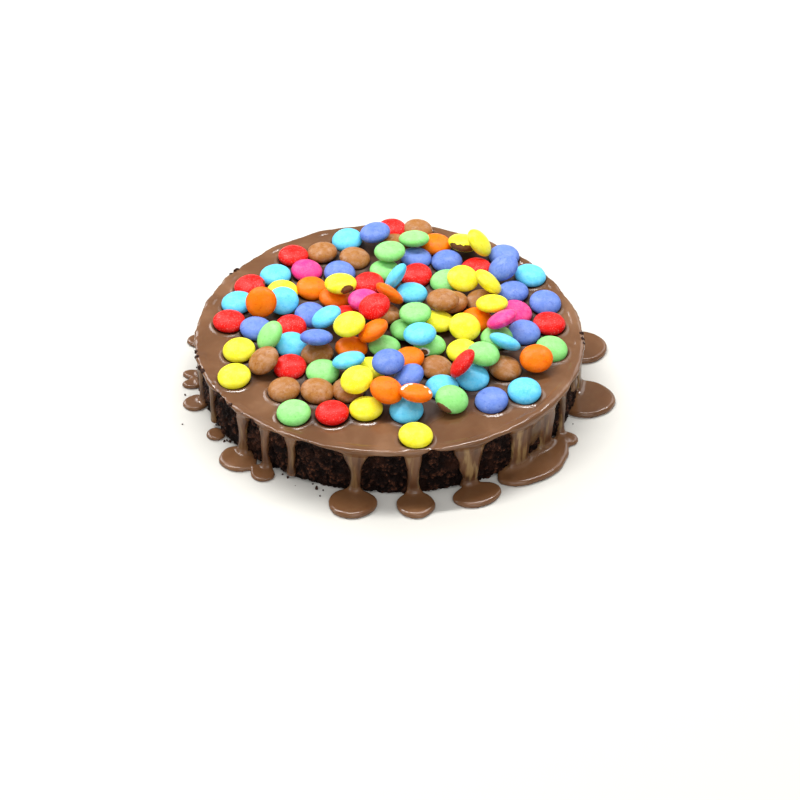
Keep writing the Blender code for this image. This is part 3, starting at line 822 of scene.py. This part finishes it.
def build_glaze(candies, finish):
    """The glaze's skin: a net on a grid, drawn onto the true surface, and shut inside the brownie."""
    axes = [np.arange(a, b + FIELD_STEP, FIELD_STEP) for a, b in zip(FIELD_LOW, FIELD_HIGH)]
    grid = np.meshgrid(*axes, indexing="ij")
    x, y, z = (axis.ravel() for axis in grid)
    inner = np.hypot(x, y) < INNER_RADIUS
    worth = np.flatnonzero(~inner | ((z > BROWNIE_TOP - TOP_MARGIN) & (z < CAKE_HEIGHT + TOP_MARGIN)))
    values = np.where(inner & (z >= BROWNIE_TOP - 1), z - CAKE_HEIGHT, FAR)
    values[worth] = glaze_distance(x[worth], y[worth], z[worth], candies)
    points, faces = net_of(values.reshape(grid[0].shape), np.array(FIELD_LOW), FIELD_STEP)
    points = drawn_to(lambda *at: glaze_distance(*at, candies), points)
    under = (np.hypot(points[:, 0], points[:, 1]) < INNER_RADIUS) & (points[:, 2] < BROWNIE_TOP - 0.1)
    faces = faces[~under[faces].all(1)]
    used, place = np.unique(faces, return_inverse=True)
    faces = place.reshape(faces.shape)
    points = points[used]
    ends = np.concatenate([np.stack([faces[:, i], faces[:, (i + 1) % 4]], 1) for i in range(4)])
    key = {tuple(edge) for edge in ends.tolist()}
    open_edges = [edge for edge in key if edge[::-1] not in key]
    middle = len(points)
    points = np.vstack([points, [0, 0, UNDERSIDE]])
    every = faces.tolist() + [[b, a, middle] for a, b in open_edges]
    piece = add_piece("glaze_skin", points, every, finish)
    contact, crowd = crowding(points, candies)
    keep_values(piece, "contact", contact)
    keep_values(piece, "crowd", crowd)
    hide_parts("glaze")


# ---------------------------------------------------------------- the brownie


def crumb_relief(x, y, z):
    """How far the side is sunk at a point: round crumbs with deep creases between them, and torn hollows."""
    at = Vector((x, y, z))
    lumps = noise.noise(at / LUMPS.width)
    hollow = max(0.0, noise.noise(at / HOLLOWS.width + Vector((9, 0, 0))) - HOLLOW_FROM)
    warped = at + CRUMB_WARP.depth * noise.noise_vector(at / CRUMB_WARP.width)
    coarse = noise.voronoi(warped / COARSE_CRUMB.width)[0][0]
    fine = noise.voronoi(warped / FINE_CRUMB.width + Vector((0, 5, 0)))[0][0]
    depth = LEAST_DEPTH - LUMPS.depth * lumps + HOLLOWS.depth * hollow
    return depth + COARSE_CRUMB.depth * coarse * coarse + FINE_CRUMB.depth * fine * fine


def build_brownie(finish):
    """The crumbly side, up to the glaze's skirt, with a flat base and a flat top under the glaze."""
    noise.seed_set(RELIEF_SEED)
    n = SIDE_COLUMNS
    angles = 2 * np.pi * (np.arange(n) / n) - np.pi
    tops = np.clip(skirt_low(angles) - SIDE_BELOW_SKIRT, BROWNIE_TOP, SIDE_TOP)
    points = []
    sunk = []
    for row in range(SIDE_ROWS + 1):
        for angle, top in zip(angles, tops):
            z = top * row / SIDE_ROWS
            edge = 1 - max(0.0, (z - top + EDGE_BAND) / EDGE_BAND)
            radius = float(side_radius(angle, z))
            depth = crumb_relief(radius * math.cos(angle), radius * math.sin(angle), z)
            reach = radius + CRUMB_PROUD - depth * (0.5 + 0.5 * edge) - EDGE_INSET * (1 - edge)
            rise = CRUMB_SHIFT * (depth - LEVEL_DEPTH) * min(1.0, z / SHIFTED_FROM) * edge
            points.append((reach * math.cos(angle), reach * math.sin(angle), z + rise))
            sunk.append(depth)
    low, top = len(points), len(points) + 1
    points += [(0, 0, 0), (0, 0, BROWNIE_TOP)]
    sunk += [1, 1]
    last = SIDE_ROWS * n
    sides = [(i, (i + 1) % n) for i in range(n)]
    faces = [(row + i, row + j, row + n + j, row + n + i) for row in range(0, last, n) for i, j in sides]
    for i, j in sides:
        faces += [(low, j, i), (top, last + i, last + j)]
    piece = add_piece("brownie_crumb", points, faces, finish)
    keep_values(piece, "sunk", sunk)
    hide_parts("brownie")


# Loose crumbs: on the floor at the cake's foot, clear of the puddles, and caught in the glaze of the rim,
# so many round each of a few angles.
FOOT_CRUMBS = 110
FOOT_CRUMB_SIZES = (0.35, 1.1)
FOOT_CLEARANCE = 0.6
FOOT_STREW = 0.45
PUDDLE_CLEARANCE = 1.5
RIM_CRUMBS = ((-166, 9), (-6, 7), (-140, 5), (150, 5))
RIM_CRUMB_SIZES = (0.5, 1.3)
RIM_CRUMB_SPREAD = 3.0
RIM_CRUMB_DROP = 1.6
RIM_CRUMB_INSET = 0.5
RIM_CRUMB_SLOPE = 0.3
# As shares of a crumb's size: how high its middle lies on the floor, its length and width, and its height.
CRUMB_MIDDLE = 0.45
CRUMB_FORMS = (0.7, 1.2)
CRUMB_HEIGHT = 0.8
CRUMB_SEED = 31


def crumb_tree():
    """Small ragged lumps, each as large as its own size and turned its own way, and none below the floor."""
    grown = Growth("loose_crumbs", Raggedness=0.75, Floor=0.02 * MM)
    ball = grown.node("GeometryNodeMeshIcoSphere", Radius=MM, Subdivisions=3).outputs["Mesh"]
    size = grown.own("size")
    own_at = grown.vectors("SCALE", grown.at(), Scale=grown.join("DIVIDE", 1 / MM, size))[0]
    lumps = grown.node("ShaderNodeTexNoise", Vector=own_at, Scale=0.9, Detail=2.0).outputs[0]
    out = grown.join("MULTIPLY", grown.join("SUBTRACT", lumps, 0.5), size)
    out = grown.join("MULTIPLY", out, grown.join("MULTIPLY", grown.given["Raggedness"], 2 * MM))
    shapes = grown.push_out(grown.set_out(ball), out)
    x, y, z = grown.node("ShaderNodeSeparateXYZ", Vector=grown.at()).outputs
    z = grown.join("MAXIMUM", z, grown.given["Floor"])
    grown.end_with(grown.move(shapes, Position=grown.node("ShaderNodeCombineXYZ", X=x, Y=y, Z=z).outputs[0]))
    return grown


def round_cake(angle, radius, z):
    return radius * math.cos(angle), radius * math.sin(angle), z


def build_crumbs(finish):
    """Crumbs of the brownie, strewn unevenly at its foot and caught in the glaze at the rim."""
    draw = random.Random(CRUMB_SEED)
    places, sizes = [], []
    for _ in range(FOOT_CRUMBS):
        angle = draw.uniform(-math.pi, math.pi)
        size = draw.uniform(*FOOT_CRUMB_SIZES) * draw.uniform(0.6, 1)
        radius = float(side_radius(angle, 0.0)) + FOOT_CLEARANCE + draw.expovariate(FOOT_STREW)
        turns = [math.remainder(angle - math.radians(puddle.angle), 2 * math.pi) for puddle in PUDDLES]
        apart = [abs(turn) * FOOT_RADIUS for turn in turns]
        if all(gap > puddle.half_width + PUDDLE_CLEARANCE for gap, puddle in zip(apart, PUDDLES)):
            places.append(round_cake(angle, radius, CRUMB_MIDDLE * size))
            sizes.append(size)
    for degrees, count in RIM_CRUMBS:
        for _ in range(count):
            angle = math.radians(degrees + draw.gauss(0, RIM_CRUMB_SPREAD))
            sizes.append(draw.uniform(*RIM_CRUMB_SIZES))
            drop = draw.uniform(0, RIM_CRUMB_DROP)
            radius = CAKE_RADIUS + float(out_of_round(angle)) - RIM_CRUMB_INSET + RIM_CRUMB_SLOPE * drop
            places.append(round_cake(angle, radius, CAKE_HEIGHT - drop))
    turns = [[draw.uniform(0, 2 * math.pi) for _ in "xyz"] for _ in sizes]
    shares = [(draw.uniform(*CRUMB_FORMS), draw.uniform(*CRUMB_FORMS), CRUMB_HEIGHT) for _ in sizes]
    forms = [[size * share for share in own] for size, own in zip(sizes, shares)]
    crumb_tree().piece("crumbs", places, {"size": sizes, "turn": turns, "form": forms}, finish)


def crumb_finish():
    made = Finish("loose_crumb")
    grains = made.grain(0.8, 3, 0.7)
    made.bumps((grains, 0.3))
    return made.set(
        Base_Color=made.ramp(grains, (0.35, (0.012, 0.003, 0.002)), (0.7, (0.075, 0.026, 0.013))),
        Roughness=0.7,
        Specular_IOR_Level=0.2,
    )


# ---------------------------------------------------------------- the candies


CANDY_SIDES = 56
CANDY_RINGS = 26
MARKED_SIDES = 150
MARKED_RINGS = 70
CANDY_WIDTHS = (0.975, 1.0)
CANDY_THICKNESSES = (0.95, 1.01)
CANDY_OVAL = 0.018
CANDY_SEED = 8
# The swells and dimples of all candies: name, height and width.
SWELLS = ("Swells", 0.24, 5.5)
DIMPLES = ("Dimples", 0.07, 1.8)

SHELL_THICKNESS = 0.55
CHIP_UNEVEN = 0.25
CHIP_LUMPS = 0.5
SMEAR_THICKNESS = 0.3
# How steeply the edge of a chip goes down, and that of a smear up.
CHIP_STEEPNESS = 6
SMEAR_STEEPNESS = 4
# How ragged a mark's edge is: by what share of its size, in lumps of what width.
RAGGED = ((0.16, 1.1), (0.07, 0.45))


def mark_value(mark, local, wide, thick, seed):
    """How far inside a mark a point of a candy is: above zero within it, and one at its middle."""
    turn = math.radians(mark.turn)
    out = Vector((math.cos(turn), math.sin(turn), 0))
    middle = mark.share * wide * out + Vector((0, 0, thick * math.sqrt(1 - mark.share**2)))
    apart = local - middle
    along = apart.dot(Vector((-math.sin(turn), math.cos(turn), 0)))
    across = math.sqrt(max(0.0, apart.length_squared - along * along))
    ragged = sum(height * noise.noise(local / width + seed) for height, width in RAGGED)
    return 1 - math.hypot(along / mark.long, across / mark.wide) + ragged


def candy_tree():
    """Lentils at the places they are given, each with its own form and turn, and all a little uneven."""
    grown = Growth(
        "shelled_candies",
        Sides=CANDY_SIDES,
        Rings=CANDY_RINGS,
        Marked_Sides=MARKED_SIDES,
        Marked_Rings=MARKED_RINGS,
        **{name: height * MM for name, height, _ in (SWELLS, DIMPLES)},
    )
    given = grown.given
    flat = combine(grown.tree, "MULTIPLY", grown.at(), (1 / MM, 1 / MM, 0), "ShaderNodeVectorMath")
    out = grown.vectors("LENGTH", flat)["Value"]
    marked = grown.own("marked")
    kinds = []
    for kind, chosen in (("", grown.join("SUBTRACT", 1.0, marked)), ("Marked_", marked)):
        ball = grown.node(
            "GeometryNodeMeshUVSphere",
            Segments=given[f"{kind}Sides"],
            Rings=given[f"{kind}Rings"],
            Radius=MM,
        ).outputs["Mesh"]
        ball = grown.node("GeometryNodeStoreNamedAttribute", Geometry=ball, Name="rim", Value=out).outputs[0]
        kinds.append(grown.set_out(ball, Selection=chosen))
    shapes = grown.node("GeometryNodeJoinGeometry", Geometry=kinds).outputs[0]
    rise = 0.0
    for name, _, width in (SWELLS, DIMPLES):
        lumps = grown.node("ShaderNodeTexNoise", Scale=1 / (width * MM), Detail=1.0).outputs[0]
        lumps = grown.join("MULTIPLY", grown.join("SUBTRACT", lumps, 0.5), given[name])
        rise = grown.join("ADD", rise, lumps)
    grown.end_with(grown.push_out(shapes, rise))
    return grown


def marks_on(candy, marks):
    return [mark for mark in marks if (mark.colour, mark.x, mark.y) == (candy["colour"], *candy["fell"])]


def mark_candies(piece, candies, forms):
    """Chips, pale marks and smears on one piece's candies, worked into its mesh and kept for its finish.

    The pale marks are the white rim round a chip, and painted highlights.
    """
    mesh = piece.data
    points = np.empty(3 * len(mesh.vertices), np.float32)
    mesh.vertices.foreach_get("co", points)
    points = points.reshape(-1, 3) / MM
    which = np.empty(len(points), np.float32)
    mesh.attributes["which"].data.foreach_get("value", which)
    kept = {name: np.full(len(points), -1.0) for name in ("bare", "pale", "smeared")}
    for number, (candy, (wide, _, thick)) in enumerate(zip(candies, forms)):
        for i in np.flatnonzero(np.round(which) == number) if candy["marked"] else ():
            local = candy["turn"].transposed() @ (Vector(points[i]) - Vector(candy["at"]))
            for name, marks in (("bare", CHIPS), ("pale", PALE_RIMS_AND_HIGHLIGHTS), ("smeared", SMEARS)):
                for mark in marks_on(candy, marks):
                    kept[name][i] = max(kept[name][i], mark_value(mark, local, wide, thick, candy["seed"]))
            chipped, covered = kept["bare"][i], kept["smeared"][i]
            sunk = SHELL_THICKNESS * min(1.0, max(0.0, CHIP_STEEPNESS * chipped))
            sunk -= SMEAR_THICKNESS * min(1.0, max(0.0, SMEAR_STEEPNESS * covered))
            if chipped > 0:
                sunk += CHIP_UNEVEN * noise.noise(local / CHIP_LUMPS + candy["seed"])
            points[i] -= np.array(candy["turn"] @ local) * sunk / max(local.length, 1)
    mesh.vertices.foreach_set("co", (points * MM).ravel())
    mesh.update()
    for name, numbers in kept.items():
        keep_values(piece, name, numbers)
    for name in ("which", "marked"):
        mesh.attributes.remove(mesh.attributes[name])


def build_candies(candies):
    """The candies of each colour, as one piece."""
    draw = random.Random(CANDY_SEED)
    grown = candy_tree()
    for colour in FIRST_COURSE:
        alike = [candy for candy in candies if candy["colour"] == colour]
        forms, turns, own = [], [], []
        for candy in alike:
            wide = 0.5 * CANDY_DIAMETER * draw.uniform(*CANDY_WIDTHS)
            thick = 0.5 * CANDY_THICKNESS * draw.uniform(*CANDY_THICKNESSES)
            candy["seed"] = Vector((draw.uniform(0, 99), draw.uniform(0, 99), draw.uniform(0, 99)))
            candy["marked"] = bool(marks_on(candy, CHIPS + PALE_RIMS_AND_HIGHLIGHTS + SMEARS))
            forms.append((wide, wide * (1 - draw.uniform(0, CANDY_OVAL)), thick))
            spin = Matrix.Rotation(draw.uniform(0, math.pi), 3, "Z")
            turns.append(tuple((candy["turn"] @ spin).to_euler()))
            own.append(draw.random())
        values = {"form": forms, "turn": turns, "own": own}
        values["marked"] = [float(candy["marked"]) for candy in alike]
        values["which"] = list(range(len(alike)))
        places = [candy["at"] for candy in alike]
        piece = grown.piece(f"{colour}_candies", places, values, shell_finish(colour))
        mark_candies(piece, alike, forms)
        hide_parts(*[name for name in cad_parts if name.startswith(f"candy_{colour}_")])


# ---------------------------------------------------------------- finishes


GRAIN_INPUTS = {"Size": 1.0, "Detail": 2.0, "Roughness": 0.5, "Distortion": 0.0}


def grain_group():
    """A shader node group: noise whose lumps are about as many millimetres across as its Size."""
    group = bpy.data.node_groups.new("grain", "ShaderNodeTree")
    group.interface.new_socket("Place", in_out="INPUT", socket_type="NodeSocketVector")
    for label, value in GRAIN_INPUTS.items():
        made = group.interface.new_socket(label, in_out="INPUT", socket_type="NodeSocketFloat")
        made.default_value = value
    group.interface.new_socket("Grain", in_out="OUTPUT", socket_type="NodeSocketFloat")
    given = group.nodes.new("NodeGroupInput").outputs
    lumps = add_node(
        group,
        "ShaderNodeTexNoise",
        Vector=given["Place"],
        Scale=combine(group, "DIVIDE", 1 / MM, given["Size"]),
        Detail=given["Detail"],
        Roughness=given["Roughness"],
        Distortion=given["Distortion"],
    )
    group.links.new(lumps.outputs["Fac"], group.nodes.new("NodeGroupOutput").inputs["Grain"])
    return group


GRAIN = grain_group()


class Finish:
    """A material, and short ways to add nodes to it."""

    def __init__(self, name):
        self.material = bpy.data.materials.new(name)
        self.material.use_nodes = True
        self.tree = self.material.node_tree
        self.shader = self.tree.nodes["Principled BSDF"]
        self.at = self.tree.nodes.new("ShaderNodeTexCoord").outputs["Object"]

    def node(self, kind, settings=None, **inputs):
        return add_node(self.tree, kind, settings, **inputs)

    def grain(self, size, detail=2.0, roughness=0.5, distortion=0.0, place=None):
        """Noise whose lumps are about this many millimetres across."""
        made = self.node("ShaderNodeGroup", {"node_tree": GRAIN})
        values = (place or self.at, size, detail, roughness, distortion)
        for label, value in zip(("Place", *GRAIN_INPUTS), values):
            feed(self.tree, made.inputs[label], value)
        return made.outputs["Grain"]

    def times(self, first, second):
        return combine(self.tree, "MULTIPLY", first, second)

    def value(self, name):
        return self.node("ShaderNodeAttribute", {"attribute_name": name}).outputs["Fac"]

    def ramp(self, source, *stops):
        """A colour for each (place, colour) along a value."""
        made = self.node("ShaderNodeValToRGB", Fac=source)
        band = made.color_ramp
        band.elements[0].position, band.elements[0].color = stops[0][0], (*stops[0][1], 1)
        band.elements[1].position, band.elements[1].color = stops[-1][0], (*stops[-1][1], 1)
        for place, colour in stops[1:-1]:
            band.elements.new(place).color = (*colour, 1)
        return made.outputs["Color"]

    def span(self, source, low, high, out_low, out_high):
        """A value stretched from one span to another, and held at its ends."""
        ends = {"From_Min": low, "From_Max": high, "To_Min": out_low, "To_Max": out_high}
        return self.node("ShaderNodeMapRange", Value=source, **ends).outputs["Result"]

    def mix(self, share, first, second, blend="MIX"):
        settings = {"data_type": "RGBA", "blend_type": blend}
        made = self.node("ShaderNodeMix", settings, Factor=share, A=first, B=second)
        return next(socket for socket in made.outputs if socket.enabled)

    def over(self, base, mask, low, high, share, colour):
        """A colour laid over the base where a mask goes from low to high, up to a share."""
        return self.mix(self.span(mask, low, high, 0, share), base, colour)

    def bumps(self, *layers):
        """Bumps from (source, height in millimetres) pairs, one over another."""
        normal = None
        for source, height in layers:
            made = self.node("ShaderNodeBump", Height=source, Distance=height * MM, Strength=1.0)
            if normal:
                self.tree.links.new(normal, made.inputs["Normal"])
            normal = made.outputs["Normal"]
        self.tree.links.new(normal, self.shader.inputs["Normal"])

    def set(self, **inputs):
        for name, value in inputs.items():
            feed(self.tree, self.shader.inputs[name.replace("_", " ")], value)
        return self.material


def glaze_finish():
    made = Finish("milk_chocolate_glaze")
    clouds = made.grain(26, 3, 0.55, 0.6)
    colour = made.ramp(
        clouds,
        (0.3, (0.136, 0.060, 0.025)),
        (0.52, (0.182, 0.084, 0.037)),
        (0.72, (0.246, 0.122, 0.058)),
    )
    colour = made.over(colour, made.grain(5, 3), 0.35, 0.7, 0.3, (0.15, 0.058, 0.022))

    # The runs are darker and redder low down, and the puddles are not.
    place = made.node("ShaderNodeSeparateXYZ", Vector=made.at).outputs
    height = place["Z"]
    depth = made.ramp(
        made.span(height, 0, CAKE_HEIGHT * MM, 0, 1),
        (0.10, (1, 0.98, 0.94)),
        (0.24, (0.50, 0.40, 0.29)),
        (0.93, (1, 1, 1)),
    )
    colour = made.mix(1.0, colour, depth, "MULTIPLY")

    # Upright streaks on the side: golden, a painted reflection, stronger to the right; dark, painted shade.
    drawn = combine(made.tree, "MULTIPLY", made.at, (1, 1, 0.16), "ShaderNodeVectorMath")
    under_rim = made.span(height, 21 * MM, 23.5 * MM, 1, 0)
    side = made.times(under_rim, made.span(height, 2.5 * MM, 5 * MM, 0, 1))
    gold_reflection = made.times(side, made.span(place["X"], -10 * MM, 40 * MM, 0.45, 1))
    gold_reflection = made.times(gold_reflection, made.span(made.grain(3.0, 3.0, 0.5, 0.4, drawn), 0.50, 0.62, 0, 0.85))
    colour = made.mix(gold_reflection, colour, (0.33, 0.205, 0.085))
    shaded = made.times(side, made.span(made.grain(4.4, 2.0, 0.5, 0.3, drawn), 0.47, 0.38, 0, 0.75))
    colour = made.mix(shaded, colour, (0.055, 0.022, 0.009))

    # Painted shade between the candies, and a painted shadow close against the low ones.
    crowd = made.value("crowd")
    colour = made.over(colour, crowd, 0, 1, 0.92, (0.034, 0.012, 0.005))
    colour = made.over(colour, made.value("contact"), 0.15, 0.8, 0.85, (0.018, 0.007, 0.004))
    dull = combine(made.tree, "MAXIMUM", crowd, made.times(side, 0.5))
    cloudy = made.span(clouds, 0.3, 0.7, 0.11, 0.22)
    made.bumps((made.grain(3.2, 3), 0.05), (made.grain(0.7, 2), 0.008))
    return made.set(
        Base_Color=colour,
        Roughness=combine(made.tree, "ADD", cloudy, made.span(dull, 0, 1, 0, 0.3)),
        IOR=1.46,
        Specular_IOR_Level=0.38,
        Subsurface_Weight=0.06,
        Subsurface_Radius=(0.004, 0.002, 0.001),
        Coat_Weight=made.span(dull, 0, 0.8, 0.2, 0),
        Coat_Roughness=0.08,
    )


def brownie_finish():
    made = Finish("dark_brownie_crumb")
    grains = made.grain(0.95, 4, 0.8)
    # The crumb's own dark and brown speckle, with painted light on the raised grains that the bumps also use.
    colour = made.ramp(
        grains,
        (0.40, (0.006, 0.0013, 0.001)),
        (0.52, (0.046, 0.014, 0.007)),
        (0.66, (0.20, 0.078, 0.040)),
    )
    # Painted shade in the side's creases and hollows, darker the deeper the crumb is sunk.
    colour = made.over(colour, made.value("sunk"), 0.35, 1.1, 0.95, (0.0035, 0.0009, 0.0006))
    colour = made.over(colour, made.grain(12, 2), 0.52, 0.68, 0.4, (0.066, 0.021, 0.010))
    made.bumps((grains, 0.7), (made.grain(0.35, 2), 0.16))
    return made.set(
        Base_Color=colour,
        Roughness=made.span(made.grain(1.4), 0.3, 0.7, 0.45, 0.85),
        Specular_IOR_Level=0.10,
    )


def shell_finish(colour):
    made = Finish(f"{colour}_sugar_shell")
    shade = SHELL_COLOURS[colour]
    paler_share = PALER.get(colour, 0.12)
    paler = tuple((1 - paler_share) * v + 0.9 * paler_share for v in shade)
    deeper = tuple(0.85 * v**1.4 for v in shade)
    base = made.over(shade, made.value("own"), 0, 1, 0.3, deeper)
    # Painted shade towards each candy's rim, where its sides turn from the light.
    base = made.over(base, made.value("rim"), 0.74, 1.0, 0.6, deeper)
    # Paler patches: the shell's own mottling, and on brown candies also a painted sheen.
    base = made.over(base, made.grain(3.4, 3, 0.6), 0.45, 0.72, 0.6, paler)
    base = made.over(base, made.grain(1.9, 3, 0.7), 0.46, 0.30, 0.65, deeper)
    speckled = SPECKLES.get(colour, 0.08)
    base = made.over(base, made.grain(0.55, 1), 0.60, 0.72, speckled, (0.93, 0.88, 0.82))
    # Pale marks: the white rim of a chip, and painted highlights on a tilted orange candy's edge.
    base = made.over(base, made.value("pale"), -0.12, 0.2, 1, (0.95, 0.92, 0.86))
    base = made.over(base, made.value("bare"), -0.02, 0.05, 1, (0.19, 0.075, 0.024))
    base = made.over(base, made.value("smeared"), -0.02, 0.05, 1, (0.17, 0.07, 0.03))
    made.bumps((made.grain(2.4, 2), 0.20), (made.grain(0.55, 2), 0.03))
    return made.set(
        Base_Color=base,
        Roughness=made.span(made.grain(2.5, 2), 0.3, 0.7, 0.28, 0.42),
        Specular_IOR_Level=0.13,
        Subsurface_Weight=0.05,
        Subsurface_Radius=(0.003, 0.003, 0.003),
    )


# ---------------------------------------------------------------- floor, light and camera


FLOOR_HALF = 2500


def build_floor():
    corners = ((-1, -1), (1, -1), (1, 1), (-1, 1))
    mesh = bpy.data.meshes.new("floor")
    mesh.from_pydata([(FLOOR_HALF * a * MM, FLOOR_HALF * b * MM, 0) for a, b in corners], [], [(0, 1, 2, 3)])
    floor = bpy.data.objects.new("floor", mesh)
    bpy.context.scene.collection.objects.link(floor)
    made = Finish("pale_floor")
    mesh.materials.append(made.set(Base_Color=(0.70, 0.68, 0.63), Roughness=0.9, Specular_IOR_Level=0.1))


# Soft lamps that face the cake, with places and sizes in metres and power in watts.
Lamp = namedtuple("Lamp", "name at faces size power")
LAMPS = (
    Lamp("overhead_strip", (-0.1, 0.46, 1.12), (0, 0, 0), (1.5, 0.08), 17),
    Lamp("back_left_softbox", (-0.75, 1.0, 0.95), (0, 0, 0), (0.6, 0.7), 9),
    Lamp("back_right_softbox", (0.75, 1.0, 0.85), (0, 0, 0), (0.8, 0.7), 4),
    Lamp("front_overhead_strip", (0.15, -0.5, 1.1), (0, 0, 0), (0.9, 0.07), 2.5),
    Lamp("front_softbox", (0.35, -1.3, 0.75), (0, 0, 0.02), (1.0, 0.6), 5),
    Lamp("left_strip", (-1.2, -0.3, 0.6), (0, 0, 0.02), (0.3, 1.0), 3),
)
ROOM_COLOUR = (0.95, 0.97, 1.0, 1)
ROOM_STRENGTH = 0.32


def build_light():
    world = bpy.data.worlds.new("soft_room")
    world.use_nodes = True
    back = world.node_tree.nodes["Background"]
    back.inputs["Color"].default_value = ROOM_COLOUR
    back.inputs["Strength"].default_value = ROOM_STRENGTH
    bpy.context.scene.world = world
    for lamp in LAMPS:
        light = bpy.data.lights.new(lamp.name, "AREA")
        light.shape = "RECTANGLE"
        light.size, light.size_y = lamp.size
        light.energy = lamp.power
        holder = bpy.data.objects.new(lamp.name, light)
        holder.location = lamp.at
        holder.rotation_euler = (Vector(lamp.faces) - Vector(lamp.at)).to_track_quat("-Z", "Y").to_euler()
        bpy.context.scene.collection.objects.link(holder)


CAMERA_LENS = 97.57
CAMERA_SENSOR = 36
CAMERA_RISE = math.radians(37.55)
CAMERA_AWAY = 1013.1
LOOKS_AT = (5.12, -20.32, 0)


def build_camera():
    camera = bpy.data.objects.new("camera", bpy.data.cameras.new("camera"))
    camera.data.lens = CAMERA_LENS
    camera.data.sensor_width = CAMERA_SENSOR
    away = Vector((0, -math.cos(CAMERA_RISE), math.sin(CAMERA_RISE))) * CAMERA_AWAY
    camera.location = (Vector(LOOKS_AT) + away) * MM
    camera.rotation_euler = (math.pi / 2 - CAMERA_RISE, 0, 0)
    bpy.context.scene.collection.objects.link(camera)
    bpy.context.scene.camera = camera


def build():
    bpy.context.scene.view_settings.view_transform = "Standard"
    candies = lay_heap()
    build_camera()
    build_floor()
    build_light()
    build_brownie(brownie_finish())
    build_glaze(candies, glaze_finish())
    build_candies(candies)
    build_crumbs(crumb_finish())


build()
